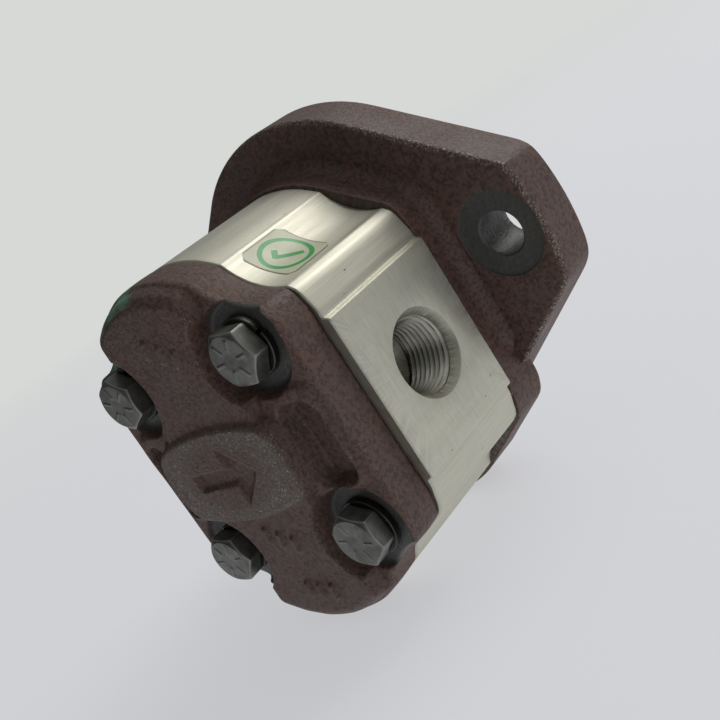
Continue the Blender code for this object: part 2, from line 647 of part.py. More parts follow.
def make_shaft_seal():
    """Lip seal open towards the oil, its garter spring and the circlip that keeps it in."""
    lip = SHAFT_RADIUS + RUNNING_GAP
    back, front = SEAL_BACK_Y, SEAL_FRONT_Y
    shell = SEAL_RADIUS - SEAL_SHELL
    seal = turned("shaft_seal", [
        (SEAL_RADIUS, front),
        (SEAL_RADIUS, back),
        (shell, back),
        (shell, front - 1.6 * MM),
        (lip + 2.5 * MM, front - 1.6 * MM),
        (lip + 2.5 * MM, back + 0.9 * MM),
        (lip + 1.2 * MM, back + 0.4 * MM),
        (lip, back + 1.5 * MM),
        (lip + 0.9 * MM, back + 3.0 * MM),
        (lip + 0.9 * MM, front - 0.9 * MM),
        (lip + 0.1 * MM, front - 0.2 * MM),
        (lip + 0.3 * MM, front),
    ])
    paint(seal, "seal_rubber_shaft", (0.025, 0.025, 0.028), 0.5, 0.0)

    def circle(radius):
        return arc((0, 0), radius, 0, 360, 24)[:-1]

    spring_radius = lip + 2.5 * MM + GARTER_CORD + 2 * SIDE_GAP
    spring = cord_loop("seal_garter_spring", circle, spring_radius, GARTER_CORD, back + 1.9 * MM, 6)
    paint(spring, "spring_steel", (0.5, 0.5, 0.5), 0.3, 1.0)
    low = front + 2 * SIDE_GAP
    outer = SEAL_RADIUS + CIRCLIP_SEAT_DEPTH
    high = low + CIRCLIP_THICKNESS
    ring = split_ring_outline(outer, SEAL_RADIUS - 1.4 * MM, 7 * MM, 90, 24)
    circlip = prism("seal_circlip", ring, low, high)
    ears = [(side * 5.2 * MM, 11.5 * MM) for side in (-1, 1)]
    combine(circlip, cylinders("add_ears", ears, 1.9 * MM, low + 0.01 * MM, high - 0.01 * MM), "UNION")
    holes = cylinders("cut_ear_holes", ears, 0.9 * MM, low - OVERCUT, high + OVERCUT, 12)
    combine(circlip, holes)
    paint(circlip, "circlip_steel", (0.16, 0.16, 0.17), 0.35, 1.0)


def make_dowels():
    names = ("left", "right")
    for end, y in (("front", PLATFORM_Y), ("rear", COVER_Y)):
        for name, (x, z) in zip(names, DOWEL_CENTRES):
            half = DOWEL_LENGTH / 2
            profile = [(0, -half), (DOWEL_RADIUS, -half), (DOWEL_RADIUS, half), (0, half)]
            pin = turned(f"{end}_{name}_dowel", profile, (x, y, z), 16)
            paint(pin, f"dowel_steel_{end}_{name}", (0.4, 0.4, 0.41), 0.3, 1.0)


def make_screws():
    """Hex screws from the cover into the flange, each on a split washer."""
    corner = HEAD_FLATS / 2 / math.cos(math.pi / 6)
    top = -HEAD_HEIGHT
    for index, ((x, z), turn) in enumerate(zip(BOLT_CENTRES, HEAD_TURNS), 1):
        place = (x, RIM_Y, z)
        hexagon = arc((0, 0), corner, turn, turn + 360, 6)[:-1]
        bolt = prism(f"cover_bolt_{index}", hexagon, top, 0, place)
        flat = HEAD_FLATS / 2 * 0.97
        limit = turned(f"limit_head_{index}", [
            (0, top),
            (flat, top),
            (corner + OVERCUT, top + (corner + OVERCUT - flat) * 0.58),
            (corner + OVERCUT, OVERCUT),
            (0, OVERCUT),
        ], place, HOLE_STEPS)
        combine(bolt, limit, "INTERSECT")
        shank = turned(f"add_shank_{index}", [
            (0, -0.5 * HEAD_HEIGHT),
            (BOLT_RADIUS, -0.5 * HEAD_HEIGHT),
            (BOLT_RADIUS, BOLT_LENGTH - HEAD_CHAMFER),
            (BOLT_RADIUS - HEAD_CHAMFER, BOLT_LENGTH),
            (0, BOLT_LENGTH),
        ], place, HOLE_STEPS)
        combine(bolt, shank, "UNION")
        paint(bolt, f"oiled_steel_{index}", (0.09, 0.09, 0.09), 0.35, 0.9)
        inner = BOLT_RADIUS + SIDE_GAP
        ring = split_ring_outline(WASHER_RADIUS, inner, WASHER_SPLIT, turn + 180, 22)
        thickness = WASHER_THICKNESS - 2 * SIDE_GAP
        washer = prism(f"lock_washer_{index}", ring, SIDE_GAP, SIDE_GAP + thickness, place)
        paint(washer, f"washer_steel_{index}", (0.06, 0.06, 0.06), 0.45, 0.9)


def main():
    for old in list(bpy.data.objects):
        bpy.data.objects.remove(old, do_unlink=True)
    make_body()
    make_cover()
    make_flange()
    make_rotating_group()
    make_bearings()
    make_body_seals()
    make_shaft_seal()
    make_dowels()
    make_screws()


main()
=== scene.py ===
"""Looks of a gear pump with an SAE A two-bolt flange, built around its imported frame.

Shapes are worked out in millimetres with numpy and written to meshes in metres.
The frame is the CAD's: +Y out of the mounting face along the shaft, +Z from the
driven gear to the drive gear, +X out of the delivery port.
"""

import math

import bmesh
import bpy
import numpy as np
from bpy.props import FloatProperty, FloatVectorProperty, IntProperty, PointerProperty
from mathutils import Matrix, Vector


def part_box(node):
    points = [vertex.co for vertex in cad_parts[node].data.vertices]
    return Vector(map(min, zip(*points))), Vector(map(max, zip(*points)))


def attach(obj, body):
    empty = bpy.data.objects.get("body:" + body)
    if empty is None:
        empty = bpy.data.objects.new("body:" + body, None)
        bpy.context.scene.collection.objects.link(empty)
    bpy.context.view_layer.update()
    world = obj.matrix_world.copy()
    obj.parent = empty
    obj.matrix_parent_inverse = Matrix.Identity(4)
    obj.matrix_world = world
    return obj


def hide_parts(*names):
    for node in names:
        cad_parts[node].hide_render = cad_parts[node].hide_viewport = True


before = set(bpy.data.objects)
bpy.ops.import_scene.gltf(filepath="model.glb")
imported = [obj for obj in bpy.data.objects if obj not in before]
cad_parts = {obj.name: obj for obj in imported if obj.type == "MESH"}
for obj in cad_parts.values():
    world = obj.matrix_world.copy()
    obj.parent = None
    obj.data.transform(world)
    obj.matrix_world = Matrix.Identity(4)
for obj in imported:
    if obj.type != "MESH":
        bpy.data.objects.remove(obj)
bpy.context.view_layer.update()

bl_info = {
    "name": "Gear Pump",
    "version": (1, 0, 0),
    "blender": (4, 5, 0),
    "location": "View3D > Sidebar > Pump",
    "description": "Builds the pieces, finishes and stage of a hydraulic gear pump",
    "category": "Object",
}

MM = 0.001


def box_mm(node):
    """Lowest and highest corner of a CAD node, in millimetres."""
    return tuple(np.array(corner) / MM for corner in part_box(node))


BODY_LOW, BODY_HIGH = box_mm("pump_body")
COVER_LOW, COVER_HIGH = box_mm("rear_cover")
FLANGE_LOW, FLANGE_HIGH = box_mm("mounting_flange")
SHAFT_LOW, SHAFT_HIGH = box_mm("drive_gear_shaft")
CENTRE_Z = (BODY_LOW[2] + BODY_HIGH[2]) / 2
HALF_CENTRES = -CENTRE_Z
PAD_RISE = 5.8
RIM_Y = COVER_LOW[1] + PAD_RISE
LOBE_RADIUS = 35.5
LOBE_HALF_WIDTH = 19.6
FLUTE_CENTRE = (38.0, 51.15)
FLUTE_RADIUS = 20.5
CHAMBER_RADIUS = 14.1
SCREW_X, SCREW_Z = 24.8, 24.3
PAD_X, PAD_Z = -2.75, -1.2


def linear(hex_colour):
    """An sRGB colour such as "8a6f5c" as linear red, green and blue."""
    parts = [int(hex_colour[i : i + 2], 16) / 255 for i in (0, 2, 4)]
    return tuple(c / 12.92 if c <= 0.04045 else ((c + 0.055) / 1.055) ** 2.4 for c in parts)


# ---------------------------------------------------------------- shape tools


def ramp(distance, width):
    """0 below -width/2, 1 above +width/2, and an S-curve between."""
    t = np.clip(distance / width + 0.5, 0, 1)
    return t * t * (3 - 2 * t)


def soft_max(a, b, blend):
    """The larger of two surfaces, with a fillet about as wide as blend where they cross."""
    h = np.clip(0.5 + 0.5 * (a - b) / blend, 0, 1)
    return b + (a - b) * h + blend * h * (1 - h)


def soft_min(a, b, blend):
    return -soft_max(-a, -b, blend)


def inside_box(x, z, half_x, half_z, rounding):
    """Distance inside a rectangle with rounded corners, negative outside it."""
    qx, qz = np.abs(x) - half_x + rounding, np.abs(z) - half_z + rounding
    outside = np.hypot(np.maximum(qx, 0), np.maximum(qz, 0))
    return rounding - outside - np.minimum(np.maximum(qx, qz), 0)


def arc(centre, radius, start, end, steps=80):
    """Points on a circle between two angles in degrees, from +X towards +Z."""
    t = np.radians(np.linspace(start, end, steps + 1))
    return np.stack([centre[0] + radius * np.cos(t), centre[1] + radius * np.sin(t)], -1)


def spread(line, count, closed=False):
    """A polyline's points moved to equal distances along it."""
    line = np.vstack([line, line[:1]]) if closed else np.asarray(line, float)
    along = np.r_[0, np.cumsum(np.hypot(*np.diff(line, axis=0).T))]
    at = np.linspace(0, along[-1], count + closed)[: count or None]
    return np.stack([np.interp(at, along, line[:, i]) for i in (0, 1)], -1)


def softened(loop, reach):
    """A closed outline with its corners eased, by a bell-weighted mean over neighbours."""
    offsets = np.arange(-4 * math.ceil(reach), 4 * math.ceil(reach) + 1)
    weights = np.exp(-0.5 * (offsets / reach) ** 2)
    weights /= weights.sum()
    return sum(w * np.roll(loop, o, axis=0) for w, o in zip(weights, offsets))


def four_quarters(quarter):
    """Closed outline about the pump's centre from the quarter that runs from the top to +X."""
    right = np.vstack([quarter, (quarter * (1, -1))[::-1][1:]])
    return np.vstack([right, (right * (-1, 1))[::-1][1:-1]])


def lobe_quarter(lobe_radius, lobe_half_width, side, count):
    """Quarter section: an arc round one gear, a hollow flute beside it, then straight sides."""
    centre = (0, HALF_CENTRES)
    corner = (lobe_half_width, centre[1] + math.sqrt(lobe_radius**2 - lobe_half_width**2))
    turn = math.degrees(math.atan2(corner[1] - centre[1], corner[0]))
    flute_x, flute_z = FLUTE_CENTRE
    start = math.degrees(math.atan2(corner[1] - flute_z, corner[0] - flute_x)) % 360
    hollow = arc(FLUTE_CENTRE, FLUTE_RADIUS, start + 0.4, 261)
    line = [arc(centre, lobe_radius, 90, turn), hollow, side]
    return spread(np.vstack(line), count)


def to_space(loop, y, centre_z=CENTRE_Z):
    """A flat outline at distance y along the shaft; y is one number or one for each point."""
    y = np.broadcast_to(np.asarray(y, float), len(loop))
    return np.stack([loop[:, 0], y, loop[:, 1] + centre_z], -1)


def inset(loop, depth):
    """An outline moved inwards along its own normals, the outline running clockwise or not."""
    ahead = np.roll(loop, -1, axis=0) - np.roll(loop, 1, axis=0)
    normal = np.stack([ahead[:, 1], -ahead[:, 0]], -1)
    normal /= np.maximum(np.linalg.norm(normal, axis=1, keepdims=True), 1e-9)
    area = np.sum(loop[:, 0] * np.roll(loop[:, 1], -1) - np.roll(loop[:, 0], -1) * loop[:, 1])
    return loop - normal * (depth * np.sign(area))


def sheet(points, around=False, rows_close=False, **masks):
    """Quads over a grid of points in rows and columns, joined round where asked, and its masks."""
    points = np.asarray(points, float)
    rows, columns = points.shape[:2]
    index = np.arange(rows * columns).reshape(rows, columns)
    if around:
        index = np.hstack([index, index[:, :1]])
    if rows_close:
        index = np.vstack([index, index[:1]])
    corners = (index[:-1, :-1], index[1:, :-1], index[1:, 1:], index[:-1, 1:])
    quads = np.stack(corners, -1).reshape(-1, 4)
    values = {
        name: np.broadcast_to(np.asarray(mask, float), (rows, columns)).reshape(-1)
        for name, mask in masks.items()
    }
    return points.reshape(-1, 3), quads, values


def make_piece(name, sheets, material, body, nodes, smooth=40):
    """One closed mesh from several sheets: shared edges are merged and faces turned out."""
    mask_names = sorted({key for _, _, values in sheets for key in values})
    starts = np.cumsum([0] + [len(points) for points, _, _ in sheets])
    points = np.vstack([part[0] for part in sheets]) * MM
    quads = np.vstack([part[1] + start for part, start in zip(sheets, starts)])
    data = bpy.data.meshes.new(name)
    data.vertices.add(len(points))
    data.vertices.foreach_set("co", points.reshape(-1))
    data.loops.add(quads.size)
    data.loops.foreach_set("vertex_index", quads.reshape(-1))
    data.polygons.add(len(quads))
    data.polygons.foreach_set("loop_start", np.arange(0, quads.size, 4))
    data.update(calc_edges=True)
    for mask in mask_names:
        values = np.concatenate([part[2].get(mask, np.zeros(len(part[0]))) for part in sheets])
        layer = data.attributes.new(mask, "FLOAT", "POINT")
        layer.data.foreach_set("value", values)
    shape = bmesh.new()
    shape.from_mesh(data)
    bmesh.ops.remove_doubles(shape, verts=shape.verts, dist=0.002 * MM)
    bmesh.ops.dissolve_degenerate(shape, edges=shape.edges, dist=0.0005 * MM)
    bmesh.ops.recalc_face_normals(shape, faces=shape.faces)
    shape.to_mesh(data)
    shape.free()
    data.shade_smooth()
    data.set_sharp_from_angle(angle=math.radians(smooth))
    data.materials.append(material)
    made = bpy.data.objects.new(name, data)
    bpy.context.scene.collection.objects.link(made)
    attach(made, body)
    if nodes:
        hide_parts(*nodes)
    return made


def circle(angles, radius, y, centre=(0.0, 0.0)):
    """Points round the shaft's direction, at distance y along it, about a centre in x and z."""
    radius, y = np.broadcast_to(radius, angles.shape), np.broadcast_to(y, angles.shape)
    return np.stack([centre[0] + radius * np.cos(angles), y,
                     centre[1] + radius * np.sin(angles)], -1)


def lathe_rows(profile, angles):
    """Rings round the shaft's axis: each profile entry is a radius and a distance along Y."""
    return np.stack([circle(angles, radius, y) for radius, y in profile])


def split_ring(rings, **end_masks):
    """A section carried along an open path, with both cut ends closed to their middles."""
    middle = rings.mean(axis=0)
    ends = [np.stack([rings[:, i], np.broadcast_to(middle[i], rings[:, i].shape)], 1)
            for i in (0, -1)]
    return [sheet(rings, rows_close=True)] + [sheet(e, rows_close=True, **end_masks) for e in ends]


def full_turn(count):
    return np.linspace(0, 2 * math.pi, count, endpoint=False)


# ---------------------------------------------------------------- materials


def add(tree, kind, inputs=None, **settings):
    """Add one node: settings go on the node, and inputs are values or other nodes' outputs."""
    made = tree.nodes.new(kind)
    for key, value in settings.items():
        setattr(made, key, value)
    for key, value in (inputs or {}).items():
        if isinstance(value, bpy.types.NodeSocket):
            tree.links.new(value, made.inputs[key])
        else:
            made.inputs[key].default_value = value
    return made


def new_material(name):
    """An empty node material with its Principled shader, and the object's coordinates."""
    made = bpy.data.materials.new(name)
    made.use_nodes = True
    tree = made.node_tree
    shader = tree.nodes["Principled BSDF"]
    return made, tree, shader, add(tree, "ShaderNodeTexCoord").outputs["Object"]


def stretched(tree, where, scale):
    """The coordinates times a scale on each axis."""
    return add(tree, "ShaderNodeMapping", {"Vector": where, "Scale": scale}).outputs[0]


def noise(tree, where, size_mm, detail=3.0, rough=0.55):
    """Noise whose features are about size_mm across."""
    inputs = {"Vector": where, "Scale": 1 / (size_mm * MM), "Detail": detail, "Roughness": rough}
    return add(tree, "ShaderNodeTexNoise", inputs).outputs[0]


def between(tree, value, low, high, to_low=0.0, to_high=1.0):
    """A value carried from one range to another, and held at its ends."""
    inputs = {"Value": value, "From Min": low, "From Max": high,
              "To Min": to_low, "To Max": to_high}
    return add(tree, "ShaderNodeMapRange", inputs).outputs[0]


def blended(tree, factor, first, second):
    """A colour between two, by a factor."""
    ends = [c if isinstance(c, bpy.types.NodeSocket) else (*c, 1) for c in (first, second)]
    inputs = {0: factor, 6: ends[0], 7: ends[1]}
    return add(tree, "ShaderNodeMix", inputs, data_type="RGBA").outputs[2]


def combined(tree, operation, first, second):
    return add(tree, "ShaderNodeMath", {0: first, 1: second}, operation=operation).outputs[0]


def mask_of(tree, name):
    return add(tree, "ShaderNodeAttribute", attribute_name=name).outputs["Fac"]


def raised(tree, height, depth_mm, below=None):
    """Bump of a height from 0 to 1 that stands depth_mm proud."""
    inputs = {"Height": height, "Distance": depth_mm * MM, "Strength": 1.0}
    if below is not None:
        inputs["Normal"] = below
    return add(tree, "ShaderNodeBump", inputs).outputs[0]


def use(tree, shader, **sources):
    """Link sources to the shader's inputs, which are named with _ for a space."""
    for key, value in sources.items():
        socket = shader.inputs[key.replace("_", " ")]
        if isinstance(value, bpy.types.NodeSocket):
            tree.links.new(value, socket)
        else:
            socket.default_value = value


def sand_cast_iron(name, settings):
    """Grey cast iron from a sand mould under a thin brown-red primer.

    The eye sees a fine pebbled skin, primer that pools a little darker in the hollows,
    and a scatter of bare grey grains where high edges have been rubbed. Masks on the
    mesh say where it is worn, machined or smeared with green marking paint, and where
    it is darkened, by oil on bare seats and by painted shade deep inside screw seats and
    bolt holes.
    """
    made, tree, shader, where = new_material(name)
    primer = tuple(settings.primer_colour)
    dark = tuple(c * 0.45 for c in primer)
    warm = tuple(c * f for c, f in zip(primer, (1.22, 1.05, 0.92)))
    cloud = noise(tree, where, 14.0, 4.0)
    grain = noise(tree, where, settings.grain_size / MM, 4.0, 0.6)
    pebble = noise(tree, where, 2.6, 3.0)
    colour = blended(tree, between(tree, cloud, 0.36, 0.66), primer, warm)
    colour = blended(tree, between(tree, grain, 0.38, 0.56, 0.95, 0.0), colour, dark)
    # rubbed grains: about 0.4 mm, dense on the worn mask and rare elsewhere
    speck = noise(tree, where, 0.42, 2.0, 0.7)
    worn = mask_of(tree, "worn")
    level = combined(tree, "MULTIPLY_ADD", worn, -0.24)
    level.node.inputs[2].default_value = 0.74
    rubbed = between(tree, combined(tree, "SUBTRACT", speck, level), 0.0, 0.07)
    # a rubbed high face loses its red and turns the grey-green of oiled iron
    thin = combined(tree, "MULTIPLY", mask_of(tree, "bare"),
                    between(tree, noise(tree, where, 1.3, 3.0), 0.35, 0.6, 0.15, 0.75))
    colour = blended(tree, thin, colour, tuple(settings.bare_colour))
    colour = blended(tree, rubbed, colour, tuple(settings.worn_colour))
    machined = mask_of(tree, "machined")
    streak = noise(tree, stretched(tree, where, (1, 6, 1)), 1.6, 3.0)
    bare = blended(tree, streak, tuple(c * 0.75 for c in settings.machined_colour),
                   tuple(settings.machined_colour))
    colour = blended(tree, machined, colour, bare)
    # darker grey-green where the mask says: oil on bare seats, and painted shade deep in screw
    # seats and bolt holes
    oiled = combined(tree, "MULTIPLY", mask_of(tree, "oiled"),
                     between(tree, noise(tree, where, 3.5, 3.0), 0.2, 0.5, 0.55, 1.0))
    colour = blended(tree, oiled, colour, tuple(settings.oil_and_shade_colour))
    smear = combined(tree, "MULTIPLY", mask_of(tree, "smeared"),
                     between(tree, noise(tree, where, 5.0, 5.0, 0.65), 0.38, 0.6))
    colour = blended(tree, smear, colour, tuple(settings.smear_colour))
    rough = between(tree, cloud, 0.3, 0.7, 0.48, 0.62)
    rough = combined(tree, "SUBTRACT", rough, combined(tree, "MULTIPLY", oiled, 0.16))
    rough = combined(tree, "SUBTRACT", rough, combined(tree, "MULTIPLY", machined, 0.14))
    bare_metal = combined(tree, "MAXIMUM", combined(tree, "MULTIPLY", rubbed, 0.6),
                          combined(tree, "MULTIPLY", machined, 0.75))
    skin = combined(tree, "MULTIPLY", combined(tree, "SUBTRACT", 1.0, machined),
                    combined(tree, "ADD", grain, combined(tree, "MULTIPLY", pebble, 0.9)))
    use(tree, shader, Base_Color=colour, Roughness=rough, Metallic=bare_metal,
        Normal=raised(tree, skin, settings.grain_depth / MM))
    return made


def extruded_aluminium(name, settings):
    """Extruded aluminium alloy, its port faces milled, handled but not coated.

    The eye sees fine draw lines along the shaft's direction, a satin warm-white metal
    that goes greenish in shade, light cross scratches, and small dark nicks.
    """
    made, tree, shader, where = new_material(name)
    base = tuple(settings.aluminium_colour)
    draw_lines = stretched(tree, where, (1, 0.02, 1))
    draw = noise(tree, draw_lines, settings.draw_line_spacing / MM, 3.0, 0.7)
    wide = noise(tree, stretched(tree, where, (1, 0.05, 1)), 2.8, 2.0)
    milled = mask_of(tree, "milled")
    cross = noise(tree, stretched(tree, where, (1, 1.6, 0.12)), 0.5, 3.0, 0.65)
    cloud = noise(tree, where, 9.0, 4.0)
    fine = add(tree, "ShaderNodeMix", {0: milled, 2: draw, 3: cross}).outputs[0]
    dull = tuple(c * f for c, f in zip(base, (0.80, 0.80, 0.76)))
    colour = blended(tree, between(tree, fine, 0.3, 0.7), dull, base)
    colour = blended(tree, between(tree, cloud, 0.35, 0.7, 0.0, 0.35), colour,
                     tuple(c * f for c, f in zip(base, (0.94, 0.93, 0.84))))
    # nicks: short dark marks a few tenths of a millimetre wide
    turned = add(tree, "ShaderNodeMapping", {"Vector": where, "Rotation": (0.5, 0.3, 0.7),
                                             "Scale": (1, 0.28, 1)}).outputs[0]
    nick = between(tree, noise(tree, turned, 1.1, 2.0, 0.5), 0.735, 0.77)
    patch = between(tree, noise(tree, where, 12.0, 2.0), 0.42, 0.56)
    nick = combined(tree, "MULTIPLY", nick, patch)
    colour = blended(tree, nick, colour, linear("4a4740"))
    # darker where the mask says: oil grime near the body's ends, and painted shade deep inside the
    # threaded ports
    dirt_and_shade = mask_of(tree, "grimy")
    dirtied_and_shaded = combined(tree, "MULTIPLY", dirt_and_shade, between(tree, cloud, 0.2, 0.6, 0.6, 1.0))
    colour = blended(tree, dirtied_and_shaded, colour, linear("45433c"))
    rough = between(tree, wide, 0.3, 0.7, 0.46, 0.60)
    rough = combined(tree, "SUBTRACT", rough, combined(tree, "MULTIPLY", dirt_and_shade, 0.26))
    rough = combined(tree, "ADD", rough, combined(tree, "MULTIPLY", milled, 0.03))
    rough = combined(tree, "ADD", rough, combined(tree, "MULTIPLY", nick, 0.3))
    clean_and_unshaded = combined(tree, "SUBTRACT", 1.0, dirt_and_shade)
    normal = raised(tree, combined(tree, "MULTIPLY", fine, clean_and_unshaded), 0.020)
    normal = raised(tree, wide, 0.035, normal)
    normal = raised(tree, combined(tree, "SUBTRACT", 1.0, nick), 0.06, normal)
    use(tree, shader, Base_Color=colour, Roughness=rough, Normal=normal)
    use(tree, shader, Metallic=1.0)
    return made


def finished_steel(name, light, dark, roughness, lines_mm, stretch, depth_mm=0.006, metallic=1.0):
    """Steel whose machining or drawing leaves fine parallel lines.

    The eye sees a slightly uneven sheen along one direction, with cloudy patches of oil
    or oxide. The stretch gives the direction of the lines, and lines_mm their spacing.
    """
    made, tree, shader, where = new_material(name)
    lines = noise(tree, stretched(tree, where, stretch), lines_mm, 3.0, 0.65)
    cloud = noise(tree, where, 3.0, 4.0)
    colour = blended(tree, between(tree, cloud, 0.35, 0.65), dark, light)
    colour = blended(tree, between(tree, mask_of(tree, "worn"), 0.15, 1.0), colour,
                     tuple(min(1.0, c * 2.4 + 0.05) for c in light))
    rough = between(tree, lines, 0.3, 0.7, roughness * 0.8, roughness * 1.25)
    use(tree, shader, Base_Color=colour, Roughness=rough, Normal=raised(tree, lines, depth_mm))
    use(tree, shader, Metallic=metallic)
    return made


def moulded_rubber(name, colour, roughness):
    """Nitrile rubber from a polished mould: near black, satin, with a faint bloom."""
    made, tree, shader, where = new_material(name)
    bloom = noise(tree, where, 2.2, 4.0)
    shade = blended(tree, between(tree, bloom, 0.4, 0.75), colour, tuple(c * 2.0 for c in colour))
    use(tree, shader, Base_Color=shade, Normal=raised(tree, noise(tree, where, 0.3), 0.01),
        Roughness=between(tree, bloom, 0.3, 0.7, roughness * 0.9, roughness * 1.15))
    use(tree, shader, IOR=1.52)
    return made


def printed_film(name, settings):
    """A varnished paper label with a printed ring and tick, read from its own flat map.

    The eye sees an ivory ground yellowed at its edge, a green ring about 1 mm thick and
    a green tick, under a soft gloss.
    """
    made, tree, shader, where = new_material(name)
    flat = add(tree, "ShaderNodeUVMap", uv_map="flat").outputs[0]
    centred = add(tree, "ShaderNodeMapping", {"Vector": flat, "Location": (-0.5, -0.5, 0)})
    parts = add(tree, "ShaderNodeSeparateXYZ", {0: centred.outputs[0]})
    across, up = parts.outputs[0], parts.outputs[1]
    radius = add(tree, "ShaderNodeVectorMath", {0: centred.outputs[0]}, operation="LENGTH")
    from_ring = combined(tree, "SUBTRACT", radius.outputs["Value"], 0.385)
    ring = between(tree, combined(tree, "ABSOLUTE", from_ring, 0.0), 0.036, 0.044, 1.0, 0.0)

    def stroke(x0, y0, x1, y1):
        """1 on a straight stroke between two points of the map, from its distance."""
        length = math.hypot(x1 - x0, y1 - y0)
        ux, uy = (x1 - x0) / length, (y1 - y0) / length
        dx = combined(tree, "SUBTRACT", across, (x0 + x1) / 2)
        dy = combined(tree, "SUBTRACT", up, (y0 + y1) / 2)
        along = combined(tree, "ADD", combined(tree, "MULTIPLY", dx, ux),
                         combined(tree, "MULTIPLY", dy, uy))
        beside = combined(tree, "SUBTRACT", combined(tree, "MULTIPLY", dx, uy),
                          combined(tree, "MULTIPLY", dy, ux))
        over = combined(tree, "SUBTRACT", combined(tree, "ABSOLUTE", along, 0.0), length / 2)
        wide = combined(tree, "ABSOLUTE", beside, 0.0)
        outside = combined(tree, "MAXIMUM", over, combined(tree, "SUBTRACT", wide, 0.045))
        return between(tree, outside, 0.0, 0.008, 1.0, 0.0)

    tick = combined(tree, "MAXIMUM", stroke(-0.20, -0.02, -0.06, -0.17),
                    stroke(-0.085, -0.16, 0.20, 0.17))
    ink = combined(tree, "MAXIMUM", ring, tick)
    paper = blended(tree, between(tree, noise(tree, where, 4.0), 0.35, 0.65),
                    tuple(settings.paper_colour), tuple(c * 0.9 for c in settings.paper_colour))
    rim = between(tree, mask_of(tree, "rim"), 0.3, 1.0)
    paper = blended(tree, rim, paper, linear("6f6553"))
    colour = blended(tree, ink, paper, tuple(settings.ink_colour))
    use(tree, shader, Base_Color=colour,
        Roughness=between(tree, noise(tree, where, 1.0), 0.3, 0.7, 0.3, 0.42))
    use(tree, shader, Coat_Weight=0.3, Coat_Roughness=0.2)
    return made


# ---------------------------------------------------------------- sizes and colours


def colour_property(name, description, hex_colour):
    return FloatVectorProperty(name=name, description=description, subtype="COLOR", size=3,
                               min=0, max=1, default=linear(hex_colour))


def length_property(name, description, millimetres):
    return FloatProperty(name=name, description=description, unit="LENGTH", subtype="DISTANCE",
                         default=millimetres * MM, precision=5)


class PUMP_PG_castings(bpy.types.PropertyGroup):
    """Finish of the two iron castings and shape of the cover."""

    primer_colour: colour_property("Primer", "Colour of the iron's primer", "624c45")
    worn_colour: colour_property("Worn", "Colour of iron that shows through", "a8a398")
    bare_colour: colour_property("Bare", "Colour of a rubbed high face", "66605a")
    machined_colour: colour_property("Machined", "Colour of a machined iron face", "74746e")
    # colour of oiled iron, also used as painted shade deep inside screw seats and bolt holes
    oil_and_shade_colour: colour_property("Oiled", "Colour of oil-darkened iron", "4a4c49")
    smear_colour: colour_property("Smear", "Colour of the marking paint", "5f9078")
    grain_size: length_property("Grain size", "Width of the sand grain in the skin", 0.95)
    grain_depth: length_property("Grain depth", "Depth of the sand grain", 0.24)
    seat_radius: length_property("Seat radius", "Radius of each screw's counterbore", 11.1)
    edge_round: length_property("Edge rounding", "Rounding of the castings' outer edges", 1.2)


class PUMP_PG_body(bpy.types.PropertyGroup):
    """Finish and ports of the aluminium body."""

    aluminium_colour: colour_property("Aluminium", "Colour of the bare metal", "dedcd0")
    draw_line_spacing: length_property("Draw lines", "Spacing of the extrusion's lines", 0.28)
    delivery_radius: length_property("Delivery thread", "Major radius of its thread", 9.525)
    delivery_pitch: length_property("Delivery pitch", "Pitch of the delivery thread", 1.5875)
    suction_radius: length_property("Suction thread", "Major radius of its thread", 11.11)
    suction_pitch: length_property("Suction pitch", "Pitch of the suction thread", 1.8143)
    thread_depth: length_property("Thread depth", "Depth of both threads", 15.5)
    end_chamfer: length_property("End chamfer", "Broken edge at both ends", 0.3)


class PUMP_PG_screws(bpy.types.PropertyGroup):
    """Shape and finish of the four screws and their lock washers."""

    steel_colour: colour_property("Steel", "Colour of the blackened steel", "787973")
    flats: length_property("Across flats", "Width of the hexagon head", 12.7)
    head_height: length_property("Head height", "Height of the hexagon head", 5.3)
    shank_radius: length_property("Shank radius", "Radius of the screw", 3.97)
    mark_count: IntProperty(name="Grade marks", description="Raised strokes on each head",
                            default=6, min=0, max=12)
    mark_height: length_property("Mark height", "Height of each stroke", 0.16)


class PUMP_PG_drive(bpy.types.PropertyGroup):
    """Shafts, gears, key and shaft seal."""

    steel_colour: colour_property("Steel", "Colour of the ground shafts", "b9b9ba")
    tip_radius: length_property("Gear tips", "Radius of the gears over their teeth", 13.96)
    root_radius: length_property("Gear roots", "Radius of the gears between teeth", 9.08)
    shaft_radius: length_property("Shaft radius", "Radius of the drive end", 7.9375)
    key_side: length_property("Key", "Side of the square key", 3.97)


class PUMP_PG_label(bpy.types.PropertyGroup):
    """The inspection label in the flute beside the delivery port."""

    paper_colour: colour_property("Paper", "Colour of the label's ground", "d9dcbc")
    ink_colour: colour_property("Ink", "Colour of the printed ring and tick", "1fa64a")
    width: length_property("Width", "Label's width round the flute", 15.0)
    height: length_property("Height", "Label's height along the shaft", 15.2)


class PUMP_PG_stage(bpy.types.PropertyGroup):
    """Camera, lights and floor."""

    floor_colour: colour_property("Floor", "Colour of the floor", "8c8d90")
    sky_colour: colour_property("Surround", "Colour of the surroundings", "d7d9d7")
    lens: FloatProperty(name="Lens", description="Focal length on a 36 mm sensor", default=50.3,
                        unit="CAMERA")
    key_power: FloatProperty(name="Key light", description="Power of the main soft light",
                             default=9.0, unit="POWER")
    fill_power: FloatProperty(name="Fill light", description="Power of the weaker light",
                              default=0.5, unit="POWER")
    sky_strength: FloatProperty(name="Surround strength", description="Strength of the even light",
                                default=0.09)
    dome_strength: FloatProperty(name="Dome strength", default=0.55,
                                 description="Strength of the soft light above and behind")
    floor_glow: FloatProperty(name="Floor glow", default=0.68,
                              description="Evenness of the floor, which softens the shadow")


